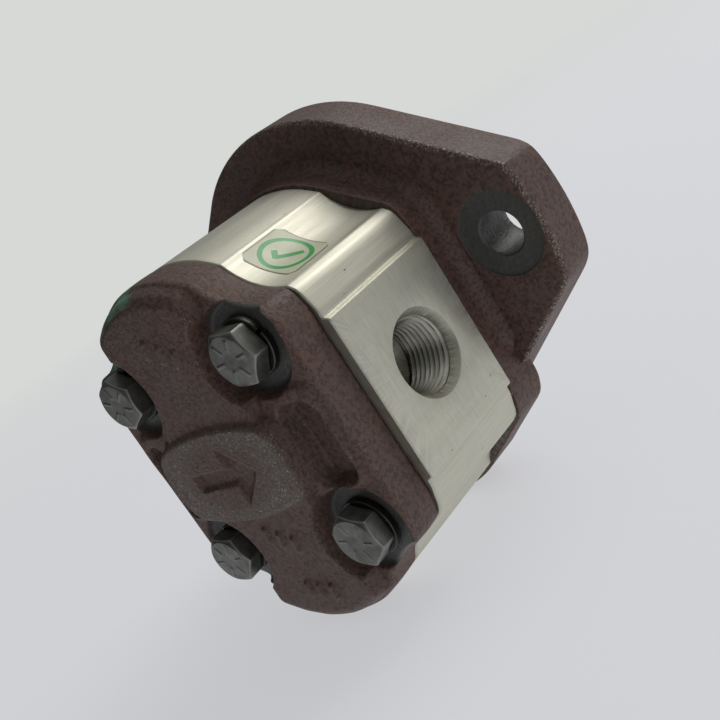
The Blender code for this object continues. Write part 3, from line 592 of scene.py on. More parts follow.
SETTINGS = {
    "pump_castings": PUMP_PG_castings,
    "pump_body": PUMP_PG_body,
    "pump_screws": PUMP_PG_screws,
    "pump_drive": PUMP_PG_drive,
    "pump_label": PUMP_PG_label,
    "pump_stage": PUMP_PG_stage,
}


# ---------------------------------------------------------------- rear cover


def screw_axes():
    """Middle of each cover screw in x and z, in the order of the CAD's bolts."""
    places = []
    for index in range(1, 5):
        low, high = box_mm(f"cover_bolt_{index}")
        places.append(((low[0] + high[0]) / 2, (low[2] + high[2]) / 2))
    return [(math.copysign(SCREW_X, x), CENTRE_Z + math.copysign(SCREW_Z, z - CENTRE_Z))
            for x, z in places]


# middle x, middle z, lean of each bar, fall of the row
MARK_ROWS = ((2.7, 31.4, 0.35, -0.6), (-0.5, -21.0, 0.2, -0.45), (1.3, -36.6, 0.2, -0.2))


def cast_marks(x, z):
    """Height of small raised bars on both lobes, generic stand-ins for foundry marks."""
    height = np.zeros_like(x)
    for middle, row, lean, fall in MARK_ROWS:
        for step in (-4.0, 0.0, 4.0):
            dx, dz = x - middle - step, z - row - fall * step
            bar = inside_box(dx - lean * dz, dz, 0.85, 2.3, 0.8)
            height = np.maximum(height, 0.85 * ramp(bar, 0.9))
    return height


def arrow(x, z):
    """1 inside a plain straight arrow that points to the delivery side, 0 outside it."""
    along, beside = x + 2.0, np.abs(z - PAD_Z)
    shaft = inside_box(along + 4.4, beside, 7.8, 2.1, 0.3)
    head = np.minimum((11.2 - along) * 0.64 - beside * 0.77, along - 2.2)
    return ramp(np.maximum(shaft, head), 0.9)


def cover_height(x, z, settings):
    """Height of the cover's face over its rim, from x and z about the pump's centre.

    Smooth maxima join the rim, two wings, the long band over both lobes and the pad;
    smooth minima then cut two pockets and the four screw seats.
    """
    past_axis = np.maximum(np.abs(z) - HALF_CENTRES, 0)
    lobe_radius = np.hypot(x, past_axis)
    wing = 1.6 * ramp(inside_box(x, z, 34.8, 13.6, 3.0), 2.4)
    rounding = np.clip((34.6 - lobe_radius) / 3.4, 0, 1)
    band = 4.3 * ramp(18.2 - np.abs(x), 2.6) * np.sqrt(1 - (1 - rounding) ** 2)
    height = soft_max(wing, band, 0.8) - 0.2
    for middle, half in ((27.8, 4.8), (-30.6, 2.0)):
        pocket = inside_box(x - middle, z - PAD_Z, half, 9.6, min(2.6, half))
        height = soft_min(height, -2.7 + 2.5 * np.maximum(-pocket, 0), 1.3)
    across, up, crown = x - PAD_X, z - PAD_Z, 80.0
    bulge = crown - np.sqrt(np.maximum(crown**2 - across**2, 1.0))
    swell = up**2 * np.where(across < 0, 1 / 36, 1 / 110)
    pad = soft_min(22.9 - swell - np.abs(across), 12.1 - bulge - np.abs(up), 3.0)
    top = soft_min(5.85 + 2.4 * pad, PAD_RISE - 0.012 * up, 1.0)
    height = soft_max(height, top, 1.0)
    height -= 1.3 * arrow(x, z) * ramp(top - 4.5, 1.0)
    height += cast_marks(x, z)
    radius = settings.seat_radius / MM
    for cx, cz in screw_axes():
        away = np.hypot(x - cx, z - (cz - CENTRE_Z)) - radius
        wall = 3.4 * np.logaddexp(0, away / 0.22) * 0.22
        height = soft_min(height, -2.0 + wall, 0.9)
    wave = 0.07 * np.sin(0.31 * x + 0.9) * np.sin(0.27 * z)
    return height + wave + 0.04 * np.sin(0.73 * x - 0.51 * z)


def cover_sheets(settings):
    """The cover as rings from a middle spine to its lobed outline, then its sides and back.

    Each ring is a share of the way from the spine to the outline. Points are drawn
    towards each seat's wall, so that the wall has more of them.
    """
    side = [(36.2, 28.9), (37.4, 25.0), (37.4, 0.0)]
    quarter = lobe_quarter(LOBE_RADIUS, LOBE_HALF_WIDTH, side, 162)
    outline = softened(four_quarters(quarter), 1.6)
    spine = np.stack([np.zeros(len(outline)), np.clip(outline[:, 1], -12, 12)], -1)
    share = np.linspace(0, 1, 112)[:, None, None]
    flat = spine + share * (outline - spine)
    edge = (1 - share[..., 0]) * np.linalg.norm(outline - spine, axis=1)
    for cx, cz in screw_axes():
        centre = np.array([cx, cz - CENTRE_Z])
        arm = flat - centre
        radius = np.maximum(np.linalg.norm(arm, axis=-1), 1e-6)
        pull = 0.55 * np.clip(edge / 2.5, 0, 1) * np.exp(-(((radius - 11.8) / 2.4) ** 2))
        flat = centre + arm * (1 + pull * (11.8 - radius) / radius)[..., None]
    x, z = flat[..., 0], flat[..., 1]
    height = cover_height(x, z, settings)
    rounding = settings.edge_round / MM
    short = np.clip(rounding - edge, 0, rounding)
    height = height - (rounding - np.sqrt(rounding**2 - short**2))
    face = np.stack([x, RIM_Y - height, z + CENTRE_Z], -1)
    face[..., 1] = np.maximum(face[..., 1], COVER_LOW[1] + 0.02)
    step = 4
    around = (np.roll(height, step, 1) + np.roll(height, -step, 1)) / 2
    padded = np.pad(height, ((step, step), (0, 0)), mode="edge")
    outward = (padded[: -2 * step] + padded[2 * step :]) / 2
    worn = 0.42 * np.clip((height - (around + outward) / 2) / 0.4, 0, 1)
    worn = np.maximum(worn, 0.42 * np.clip(1.4 - edge, 0, 1))
    on_pad = ramp(height - 5.0, 0.8)
    plain = 1 - ramp(arrow(x, z) - 0.3, 0.5)
    rim = ramp(np.hypot((x - PAD_X) / 1.75, z - PAD_Z) - 8.8, 4.2) * plain
    worn = np.maximum(worn * plain, on_pad * (0.40 + 0.22 * rim) * plain)
    # darker deep inside each screw seat: oil, and painted shade in the recess
    oiled = np.zeros_like(x)
    for cx, cz in screw_axes():
        away = np.hypot(x - cx, z - (cz - CENTRE_Z)) - settings.seat_radius / MM
        oiled = np.maximum(oiled, ramp(0.3 - away, 1.5) * ramp(-0.9 - height, 1.4))
    turn = np.degrees(np.arctan2(outline[:, 1], outline[:, 0]))
    smeared = ramp(turn - 88, 8) * ramp(136 - turn, 12)
    back_y = COVER_HIGH[1]
    top_y = face[-1, :, 1]
    drop = np.linspace(0, 1, 22)[:, None]
    bulge = 0.15 * np.sin(drop[:, 0] * math.pi)
    wall_loops = np.stack([inset(outline, -b) for b in bulge])
    side = np.stack([wall_loops[..., 0], top_y + drop * (back_y - 0.3 - top_y),
                     wall_loops[..., 1] + CENTRE_Z], -1)
    side_smear = smeared * ramp(drop - 0.1, 0.5)
    side_worn = np.clip(1 - drop * 7, 0, 1) * 0.4 + np.clip(drop * 12 - 11.2, 0, 1) * 0.4
    foot = np.stack([side[-1], to_space(inset(outline, 0.3), back_y)])
    back_share = np.linspace(1, 0, 6)[:, None, None]
    back_flat = spine + back_share * (inset(outline, 0.3) - spine)
    back = np.stack([back_flat[..., 0], np.full(back_flat.shape[:2], back_y),
                     back_flat[..., 1] + CENTRE_Z], -1)
    return [
        sheet(face, around=True, worn=worn, oiled=oiled, bare=on_pad * rim,
              smeared=smeared * (edge < 3)),
        sheet(side, around=True, worn=side_worn, smeared=side_smear),
        sheet(foot, around=True, smeared=smeared),
        sheet(back, around=True, machined=1.0),
    ]


class PUMP_OT_rear_cover(bpy.types.Operator):
    """Build the sand-cast rear cover"""

    bl_idname = "pump.rear_cover"
    bl_label = "Rear cover"

    def execute(self, context):
        settings = context.scene.pump_castings
        iron = sand_cast_iron("primed_cast_iron_cover", settings)
        make_piece("rear_cover_casting", cover_sheets(settings), iron, "housing",
                   ["rear_cover"], 60)
        return {"FINISHED"}


# ---------------------------------------------------------------- body


def figure_eight(directions, radius):
    """Distance from the centre to the outline of two joined circles on the gear axes."""
    s, c = np.abs(np.sin(directions)), np.cos(directions)
    return HALF_CENTRES * s + np.sqrt(radius**2 - (HALF_CENTRES * c) ** 2)


def thread_rows(angles, radius, pitch, depth):
    """Radius and depth of a helical 60-degree thread cut in a bore: the radius follows
    a trimmed zigzag of the depth, shifted by one pitch for each turn."""
    along = np.arange(2 * 1.2, depth, pitch / 9)[:, None]
    phase = (along / pitch + angles[None, :] / (2 * math.pi)) % 1.0
    cut = np.clip(2.4 * np.abs(phase - 0.5) - 0.1, 0, 1)
    fade = ramp(along - 3.0, 1.4)
    return radius - 0.54 * pitch * cut * fade, np.broadcast_to(along, cut.shape)


def port_sheets(rectangle, face_x, side, radius, pitch, depth, passage):
    """Milled port face from its rectangle to the mouth, then chamfer, thread and passage."""
    centre_y = (BODY_LOW[1] + BODY_HIGH[1]) / 2 + 0.45
    dy, dz = rectangle[:, 1] - centre_y, rectangle[:, 2] - CENTRE_Z
    angles = np.arctan2(dz, dy)
    mouth = radius + 1.2

    def ring(r, deep):
        r, deep = np.broadcast_to(r, angles.shape), np.broadcast_to(deep, angles.shape)
        return np.stack([side * (face_x - deep), centre_y + r * np.cos(angles),
                         CENTRE_Z + r * np.sin(angles)], -1)

    rings = np.stack([rectangle, 0.5 * (rectangle + ring(mouth + 0.15, 0)), ring(mouth + 0.15, 0)])
    lip = np.stack([ring(mouth + 0.15, 0), ring(mouth, 0.06), ring(mouth - 0.1, 0.25),
                    ring(radius, 2.4)])
    r, deep = thread_rows(angles, radius, pitch, depth)
    bore = np.concatenate([ring(radius, 2.4)[None], np.stack([ring(a, b) for a, b in zip(r, deep)]),
                           ring(radius, depth)[None]])
    cone = 0.5 * (radius - passage)

    def blind_end(r):
        """Ring of the passage's end, which stops 0.5 mm short of the gears' chamber."""
        beyond = HALF_CENTRES - np.abs(r * np.sin(angles))
        return ring(r, face_x - 0.5 - np.sqrt(CHAMBER_RADIUS**2 - beyond**2))

    tail = np.stack([ring(radius, depth), ring(passage, depth + cone)]
                    + [blind_end(passage * share) for share in np.linspace(1, 0, 6)])
    return [
        sheet(rings, around=True, milled=1.0),
        sheet(lip, around=True, milled=1.0),
        # thread and passage darken with depth: painted shade inside the port
        sheet(bore, around=True, grimy=np.linspace(0.4, 0.9, len(bore))[:, None]),
        sheet(tail, around=True, grimy=1.0),
    ]


def body_sheets(settings):
    """The body's section drawn out along the shaft, with broken ends, ports and chamber."""
    side = [(36.6, 29.4), (37.3, 27.9), (38.7, 23.1), (38.7, 21.4), (40.4, 20.8), (40.4, 0.0)]
    outline = softened(four_quarters(lobe_quarter(LOBE_RADIUS, LOBE_HALF_WIDTH, side, 170)), 0.75)
    face_x = BODY_HIGH[0]
    flat = np.abs(outline[:, 0]) > face_x - 0.02
    outline[flat, 0] = np.sign(outline[flat, 0]) * face_x
    low, high, edge = BODY_LOW[1], BODY_HIGH[1], settings.end_chamfer / MM
    rows = np.linspace(low + edge, high - edge, 41)
    walls = np.stack([to_space(outline, y) for y in rows])
    small = inset(outline, edge)
    directions = np.arctan2(outline[:, 1], outline[:, 0])
    reach = figure_eight(directions, CHAMBER_RADIUS)
    chamber = np.stack([reach * np.cos(directions), reach * np.sin(directions)], -1)
    columns = np.arange(len(outline))
    wide = np.abs(((rows - low) / (high - low))[:, None] - 0.5)
    grimy = np.broadcast_to(np.clip(wide * 24 - 11.4, 0, 1) * 0.35, (len(rows), len(outline)))
    sheets = []
    for flip in (1, -1):
        on_face = columns[flat & (outline[:, 0] * flip > 0)]
        if flip > 0:
            first, last = on_face[0], on_face[-1]
            right = (first, last)
        else:
            left = (on_face[0], on_face[-1])
            first, last = left
        block = walls[:, first : last + 1]
        rectangle = np.vstack([block[0, :-1], block[:-1, -1], block[-1, :0:-1], block[:0:-1, 0]])
        radius = settings.delivery_radius if flip > 0 else settings.suction_radius
        pitch = settings.delivery_pitch if flip > 0 else settings.suction_pitch
        sheets += port_sheets(rectangle, face_x, flip, radius / MM, pitch / MM,
                              settings.thread_depth / MM, 6.0 if flip > 0 else 7.0)
    lower = np.arange(right[1], left[0] + 1)
    upper = np.r_[np.arange(left[1], len(outline)), np.arange(0, right[0] + 1)]
    for run in (lower, upper):
        sheets.append(sheet(walls[:, run], grimy=grimy[:, run]))
    for y, wall in ((low, walls[0]), (high, walls[-1])):
        ends = np.stack([wall, to_space(small, y), to_space(chamber, y)])
        sheets.append(sheet(ends, around=True, milled=1.0, grimy=0.15))
    tube = np.stack([to_space(chamber, y) for y in np.linspace(low, high, 5)])
    sheets.append(sheet(tube, around=True, milled=0.5))
    return sheets


class PUMP_OT_body(bpy.types.Operator):
    """Build the extruded aluminium body with both threaded ports"""

    bl_idname = "pump.body"
    bl_label = "Body"

    def execute(self, context):
        settings = context.scene.pump_body
        metal = extruded_aluminium("extruded_aluminium_body", settings)
        make_piece("pump_body_extrusion", body_sheets(settings), metal, "housing",
                   ["pump_body"], 24)
        return {"FINISHED"}


# ---------------------------------------------------------------- flange


PLATE_THICK = 13.8
EAR_CORNER_Z = 14.2
EAR_HOLE_X, EAR_HOLE_RADIUS = 53.2, 5.55
PLATFORM_BORE = 9.2
DRIVE_BORE = 14.1


def flange_outline():
    """Dense plate outline about the shaft: a round middle, straight slopes and two ears."""
    slope, reach, corner = 34.9, FLANGE_HIGH[0], 7.0
    middle = arc((0, 0), FLANGE_HIGH[2], 90, 90 - slope)
    end = math.degrees(math.asin(EAR_CORNER_Z / reach))
    lean = slope - 90 + math.degrees(math.acos((FLANGE_HIGH[2] - corner) / (reach - corner)))
    upper = arc((0, 0), reach, end, lean)
    away = math.radians(lean)
    centre = ((reach - corner) * math.cos(away), (reach - corner) * math.sin(away))
    rounding = arc(centre, corner, lean, -90 + slope)[1:]
    lower = arc((0, 0), FLANGE_HIGH[2], -90 + slope, -90)
    right = np.vstack([middle, upper, rounding, lower])
    return np.vstack([right, (right * (-1, 1))[::-1][1:-1]])


def outline_reach(outline, angles):
    """Distance to the outline in each direction, read off a densely spread copy of it."""
    dense = spread(outline, 6000, closed=True)
    turn = np.arctan2(dense[:, 1], dense[:, 0])
    order = np.argsort(turn)
    return np.interp(angles, turn[order], np.hypot(*dense[order].T), period=2 * math.pi)


def quarter_turn(radius, steps):
    """Offsets of a rounded edge: how far in and how far down, from the face to the side."""
    t = np.linspace(0, math.pi / 2, steps)
    return radius * (1 - np.sin(t)), radius * (1 - np.cos(t))


def flange_sheets(settings):
    """The plate as loops round the shaft: bore, rear face, rounded edge, side, mounting face,
    pilot, recess and seal bore. Each ear's part of both faces is bridged to its hole instead."""
    thick = PLATE_THICK
    corner = math.degrees(math.asin(EAR_CORNER_Z / FLANGE_HIGH[0]))
    ear = np.radians(np.r_[np.linspace(-14, corner, 30), 14])
    gap = np.linspace(ear[-1], math.pi - ear[-1], 170)[1:-1]
    angles = np.r_[ear, gap, (math.pi - ear)[::-1],
                   np.linspace(math.pi + 14 * math.pi / 180, 2 * math.pi + ear[0], 170)[1:-1]]
    turned_to = (angles + math.pi) % (2 * math.pi) - math.pi
    reach = outline_reach(flange_outline(), turned_to)
    # the mould's draft eases the corners towards the mounting face
    eased = outline_reach(softened(spread(flange_outline(), 400, closed=True), 2.4), turned_to)
    eased = np.minimum(eased, reach)
    count = len(ear)
    starts = (0, count + len(gap))
    run = np.stack([np.cos(angles), np.sin(angles)], -1)

    def loop(radius, y):
        flat = run * np.broadcast_to(radius, angles.shape)[:, None]
        return to_space(flat, y, 0.0)

    inner, rounding = 42.0, settings.edge_round / MM
    ins, downs = quarter_turn(rounding, 7)
    shares = np.linspace(0, 1, 22)
    rear = [loop(inner + (reach - rounding - inner) * t, -thick) for t in shares]
    edge = [loop(reach - i, -thick + d) for i, d in zip(ins, downs)]
    side = [loop(reach + (eased - reach) * t, -thick + rounding + (thick - rounding - 0.8) * t)
            for t in np.linspace(0, 1, 14)[1:-1]]
    lip_in, lip_down = quarter_turn(0.8, 5)
    lip = [loop(eased - i, -d) for i, d in zip(lip_in[::-1], lip_down[::-1])]
    front = [loop(eased - 0.8 + (inner - eased + 0.8) * t, 0) for t in shares]
    pilot = FLANGE_HIGH[1]
    bore = DRIVE_BORE
    turned = [(41.6, 0), (41.275, 0.25), (41.275, pilot - 0.9), (40.4, pilot), (35.4, pilot),
              (35.0, pilot - 0.4), (34.8, 2.75), (34.4, 2.35), (21.6, 2.35), (21.2, 2.75),
              (21.0, pilot - 0.4), (20.6, pilot), (bore + 0.6, pilot), (bore, pilot - 0.6),
              (bore, 5.1), (15.2, 5.1), (15.2, 3.6), (bore, 3.6), (bore, -3.0),
              (PLATFORM_BORE, -3.0), (PLATFORM_BORE, -thick)]
    blocks = [
        ([loop(PLATFORM_BORE, -thick), loop(20, -thick), loop(inner, -thick)], {}),
        (edge, {"worn": 0.8}),
        ([edge[-1], *side, lip[0]], {"worn": 0.05}),
        (lip, {"worn": 0.4}),
        ([loop(inner, 0)] + [loop(r, y) for r, y in turned], {"machined": 1.0}),
    ]
    sheets = [sheet(np.stack(rows), around=True, **masks) for rows, masks in blocks]
    for rows, masks in ((np.stack(rear), {}), (np.stack(front), {"machined": 1.0})):
        worn = np.zeros(rows.shape[:2])
        if not masks:
            worn += np.clip(shares * 9 - 8.2, 0, 1)[:, None] * 0.5
        for begin, stop in ((starts[0] + count - 1, starts[1]),
                            (starts[1] + count - 1, len(angles))):
            pick = np.arange(begin, stop + 1) % len(angles)
            sheets.append(sheet(rows[:, pick], worn=worn[:, pick], **masks))
    for start, centre_x in ((starts[0], EAR_HOLE_X), (starts[1], -EAR_HOLE_X)):
        stop = start + count - 1
        borders = []
        for rows in (np.stack(rear), np.stack(front)[::-1]):
            block = rows[:, start : stop + 1]
            borders.append(np.vstack([block[0, :-1], block[:-1, -1], block[-1, :0:-1],
                                      block[:0:-1, 0]]))
        back, face = borders
        turn = np.arctan2(back[:, 2], back[:, 0] - centre_x)

        def ring(radius, y):
            return circle(turn, radius, y, (centre_x, 0.0))

        floor = 0.5 - thick
        seat_edge = ring(11.15, -thick)
        near = back + (seat_edge - back) * 0.1
        sheets.append(sheet(np.stack([back, near, seat_edge]), around=True))
        seat = [(11.15, -thick), (10.95, 0.08 - thick), (10.85, floor - 0.05), (10.7, floor)]
        seat += [(6.0, floor), (EAR_HOLE_RADIUS, floor + 0.45)]
        # spot face and bolt hole darkened: oil on the spot face, painted shade down the hole
        sheets.append(sheet(np.stack([ring(r, y) for r, y in seat]), around=True,
                            oiled=np.array([0.2, 0.9, 1, 1, 1, 1])[:, None]))
        hole = np.stack([ring(EAR_HOLE_RADIUS, y) for y in np.linspace(floor + 0.45, -0.5, 8)])
        sheets.append(sheet(hole, around=True, oiled=1.0))
        mouth = ring(6.05, 0.0)
        near = face + (mouth - face) * 0.04
        sheets.append(sheet(np.stack([hole[-1], mouth, near, face]), around=True, machined=1.0))
    return sheets


def platform_sheets():
    """The raised joint block behind the plate: its section drawn out along the shaft, with a
    hollow fillet that spreads onto the plate and a rounded foot below the plate's edge."""
    lobe = arc((0, HALF_CENTRES), 36.4, 90, 52)
    quarter = spread(np.vstack([lobe, [(36.6, 31.0), (38.6, 26.0), (38.6, 0.0)]]), 120)
    outline = softened(four_quarters(quarter), 2.2)
    start, end, plate = FLANGE_LOW[1], -9.0, -PLATE_THICK
    radius = np.hypot(outline[:, 0], outline[:, 1] + CENTRE_Z)
    on_plate = ramp(46.8 - radius, 3.5)
    fillet = 3.6
    heights = np.r_[start + 0.5, np.linspace(start + 0.9, plate - fillet, 5),
                    plate - fillet * (1 - np.sin(np.linspace(0.1, math.pi / 2, 10))), plate + 0.3,
                    np.linspace(plate + 1, end - 1.6, 8)]
    deep = np.clip(heights - (plate - fillet), 0, fillet)
    flare = fillet - np.sqrt(np.maximum(fillet**2 - deep**2, 0))
    flare = np.where(heights > plate + 0.01, 0, np.minimum(flare, 2.9))
    wall = np.stack([to_space(inset(outline, -f * on_plate[:, None]), y)
                     for f, y in zip(flare, heights)])
    worn = np.broadcast_to((0.25 * (heights > plate - fillet) * (heights < plate)
                            )[:, None] * on_plate, wall.shape[:2])
    ins, downs = quarter_turn(0.5, 5)
    front = np.stack([to_space(inset(outline, i), start + d) for i, d in zip(ins, downs)])
    foot_in, foot_down = quarter_turn(1.6, 7)
    foot = np.stack([to_space(inset(outline, i), end - d)
                     for i, d in zip(foot_in[::-1], foot_down[::-1])])
    direction = np.arctan2(outline[:, 1] + CENTRE_Z, outline[:, 0])
    bore = np.stack([PLATFORM_BORE * np.cos(direction),
                     PLATFORM_BORE * np.sin(direction) - CENTRE_Z], -1)
    rows = [
        (np.stack([to_space(bore, start), front[0]]), {"machined": 0.7}),
        (front, {"worn": 0.4}),
        (wall, {"worn": worn}),
        (foot, {"worn": 0.3}),
        (np.stack([foot[-1], to_space(bore, end)]), {}),
        (np.stack([to_space(bore, end), to_space(bore, start)]), {"machined": 1.0}),
    ]
    return [sheet(points, around=True, **masks) for points, masks in rows]


class PUMP_OT_flange(bpy.types.Operator):
    """Build the cast mounting flange and the joint block behind its plate"""

    bl_idname = "pump.flange"
    bl_label = "Mounting flange"

    def execute(self, context):
        settings = context.scene.pump_castings
        iron = sand_cast_iron("primed_cast_iron_flange", settings)
        make_piece("flange_plate", flange_sheets(settings), iron, "housing",
                   ["mounting_flange"], 32)
        make_piece("flange_platform", platform_sheets(), iron, "housing",
                   [], 50)
        return {"FINISHED"}


# ---------------------------------------------------------------- screws and washers


HEAD_TURNS = (111.7, 97.4, 84.2, 109.4)
WASHER_TURNS = (20.0, 198.0, 60.0, 250.0)


def screw_sheets(centre, turn, settings):
    """A hexagon screw as rows from the top's middle out and down: the radius is the hexagon's,
    trimmed at its corners, and a 30-degree chamfer drops with it."""
    angles = full_turn(216)
    half = settings.flats / MM / 2
    sector = (angles - math.radians(turn)) % (math.pi / 3) - math.pi / 6
    hexagon = soft_min(half / np.cos(sector), half * 1.135, 0.18)
    height = settings.head_height / MM
    top, base = RIM_Y - height, RIM_Y
    flat = 0.93 * half
    drop = (hexagon - flat) * math.tan(math.radians(30))

    def ring(radius, y):
        return circle(angles, radius, y, centre)

    radii = np.linspace(0, flat, 26)[:, None]
    marks = np.zeros((26, len(angles)))
    for index in range(settings.mark_count):
        lean = math.radians(turn + 360 * index / settings.mark_count + 12)
        beside = radii * np.sin(angles - lean)
        along = radii * np.cos(angles - lean)
        stroke = np.minimum(0.36 - np.abs(beside), np.minimum(along - 2.5, 5.2 - along))
        marks = np.maximum(marks, ramp(stroke, 0.4))
    dish = 0.06 * ramp(2.1 - radii, 0.8)
    rise = marks * settings.mark_height / MM - dish
    crown = np.stack([ring(r, top + 0.16 - h) for r, h in zip(radii[:, 0], rise)])
    start_y = crown[-1, :, 1]
    shares = np.array([0, 0.12, 0.5, 0.9, 1.0])
    slope = np.stack([ring(flat + (hexagon - 0.12 - flat) * s,
                           start_y + (top + 0.16 + drop - start_y) * s) for s in shares])
    edge_y = top + 0.16 + drop
    side = np.stack([slope[-1], ring(hexagon - 0.02, edge_y + 0.16), ring(hexagon, edge_y + 0.4),
                     ring(hexagon, base - 1.2), ring(hexagon - 0.03, base - 0.5),
                     ring(hexagon - 0.35, base)])
    shank = settings.shank_radius / MM
    end = box_mm("cover_bolt_1")[1][1]
    rest = np.stack([side[-1], ring(shank, base), ring(shank, end - 0.8), ring(shank - 0.8, end),
                     ring(0.0, end)])
    at_corner = np.clip((np.abs(sector) / (math.pi / 6) - 0.90) * 9, 0, 1)
    everywhere = np.array([0.5, 0.35, 0, 0, 0, 0])[:, None]
    only_corners = np.array([0, 0.4, 0.65, 0.5, 0.2, 0])[:, None]
    return [
        sheet(crown, around=True, worn=marks * 0.22),
        sheet(slope, around=True, worn=np.array([0.2, 0.1, 0.1, 0.35, 0.5])[:, None]),
        sheet(side, around=True, worn=everywhere + only_corners * at_corner),
        sheet(rest, around=True),
    ]


def washer_sheets(centre, turn):
    """A split spring washer: a rounded rectangle carried round almost a full turn, climbing
    slightly from one cut end to the other."""
    low, high = box_mm("lock_washer_1")
    outer, inner = (high[0] - low[0]) / 2, 4.07
    gap = math.radians(4.2)
    path = np.linspace(gap, 2 * math.pi - gap, 150) + math.radians(turn)
    climb = np.linspace(0.22, -0.05, len(path))
    bevel = 0.22
    top, base = low[1], high[1]
    section = [(outer - bevel, top), (outer, top + bevel), (outer, base - bevel),
               (outer - bevel, base), (inner + bevel, base), (inner, base - bevel),
               (inner, top + bevel), (inner + bevel, top)]
    rings = np.stack([circle(path, r, y - climb, centre) for r, y in section])
    return split_ring(rings, worn=0.6)


class PUMP_OT_screws(bpy.types.Operator):
    """Build the four hexagon screws and their split washers"""

    bl_idname = "pump.screws"
    bl_label = "Screws and washers"

    def execute(self, context):
        settings = context.scene.pump_screws
        light = tuple(settings.steel_colour)
        dark = tuple(c * 0.55 for c in light)
        screw_steel = finished_steel("oil_blacked_steel_screw", light, dark, 0.36, 0.35,
                                     (1, 0.25, 1), 0.02, 0.6)
        ring_steel = finished_steel("oil_blacked_spring_steel", tuple(c * 0.45 for c in light),
                                    tuple(c * 0.3 for c in light), 0.38, 0.4, (1, 1, 1), 0.015)
        for index, centre in enumerate(screw_axes(), 1):
            make_piece(f"hex_screw_{index}", screw_sheets(centre, HEAD_TURNS[index - 1], settings),
                       screw_steel, "housing", [f"cover_bolt_{index}"], 33)
            make_piece(f"split_washer_{index}", washer_sheets(centre, WASHER_TURNS[index - 1]),
                       ring_steel, "housing", [f"lock_washer_{index}"], 38)
        return {"FINISHED"}


# ---------------------------------------------------------------- shafts, key and shaft seal


DRIVEN_GEAR = (-49.6, -34.1)


def gear_loop(phase, settings):
    """Involute gear outline: each flank's angle is the involute function at its radius."""
    teeth, module, pressure = 10, 2.25, math.radians(20)
    pitch = module * teeth / 2
    base = pitch * math.cos(pressure)
    thickness = module * (math.pi / 2 + 0.57 * math.tan(pressure)) - 0.12
    at_base = thickness / (2 * pitch) + math.tan(pressure) - pressure
    root, tip = settings.root_radius / MM, settings.tip_radius / MM
    flank = base + (tip - 0.1 - base) * np.linspace(0, 1, 9) ** 1.2
    radius = np.r_[root, root + 0.15, root + 0.5, flank, tip]
    lean = np.arccos(np.clip(base / radius, 0, 1))
    half = at_base - (np.tan(lean) - lean)
    half[0], half[1], half[-1] = at_base + 0.085, at_base + 0.03, half[-1] - 0.008
    angle = np.r_[-half, half[::-1]]
    reach = np.r_[radius, radius[::-1]]
    turns = phase + 2 * math.pi * np.arange(teeth)[:, None] / teeth + angle[None, :]
    reach = np.broadcast_to(reach, turns.shape)
    return turns.reshape(-1), reach.reshape(-1)


def shaft_sheets(axis_z, phase, profile_rear, profile_front, settings, keyway=None):
    """One shaft with its gear: rings of the journals, the gear's outline between them, and for
    the drive end a section whose top is cut flat over the keyway's length."""
    turns, reach = gear_loop(phase, settings)
    gear_low, gear_high = DRIVEN_GEAR
    if keyway:
        gear_low = box_mm("rear_bearing_block")[1][1] + 0.1
        gear_high = box_mm("front_bearing_block")[0][1] - 0.1

    def ring(radius, y):
        return circle(turns, radius, y, (0.0, axis_z))

    rows = [ring(r, y) for r, y in profile_rear]
    journal = profile_rear[-1][0]
    rows += [ring(journal, gear_low), ring(reach - 0.15, gear_low), ring(reach, gear_low + 0.15),
             ring(reach, gear_high - 0.15), ring(reach - 0.15, gear_high), ring(journal, gear_high)]
    rows += [ring(r, y) for r, y in profile_front]
    sheets = [sheet(np.stack(rows), around=True)]
    if keyway:
        width, floor, begin, end = keyway
        radius = settings.shaft_radius / MM
        half = math.asin(width / radius)
        outside = np.linspace(math.pi / 2 + half, math.pi * 2.5 - half, len(turns) - 20)
        around = np.r_[outside, np.linspace(math.pi / 2 - half, math.pi / 2 + half, 20)]
        plain = np.stack([np.cos(around), np.sin(around)], -1) * radius
        cut = plain.copy()
        top = slice(len(outside), None)
        cut[top, 0] = np.linspace(width, -width, len(around) - len(outside))
        cut[top, 1] = floor
        last = profile_front[-1][1]
        tip = SHAFT_HIGH[1]

        def at(points, y, scale=1.0):
            return to_space(points * scale, y, axis_z)

        small = (radius - 0.8) / radius
        seam = ring(radius, last)
        nearest = np.argmin(np.hypot(seam[:, 0] - plain[0, 0], seam[:, 2] - axis_z - plain[0, 1]))
        sheets.append(sheet(np.stack([
            np.roll(seam, -nearest, axis=0), at(plain, last + 1), at(plain, begin),
            at(cut, begin), at(cut, end), at(plain, end), at(plain, tip - 0.8),
            at(plain, tip, small), at(plain, tip, 0.3), at(plain, tip, 0.0),
        ]), around=True))
    return sheets


def key_sheets(settings, begin, end, floor):
    """A square key with small bevels: its section's corners cut, and its ends drawn in."""
    half, bevel = settings.key_side / MM / 2, 0.25
    corners = np.array([(-half, -half + bevel), (-half + bevel, -half), (half - bevel, -half),
                        (half, -half + bevel), (half, half - bevel), (half - bevel, half),
                        (-half + bevel, half), (-half, half - bevel)])
    rows = []
    stations = ((begin, 0), (begin, 0.88), (begin + 0.2, 1), (end - 0.2, 1), (end, 0.88), (end, 0))
    for y, scale in stations:
        rows.append(to_space(corners * scale, y, floor + half))
    return [sheet(np.stack(rows), around=True, worn=0.1)]


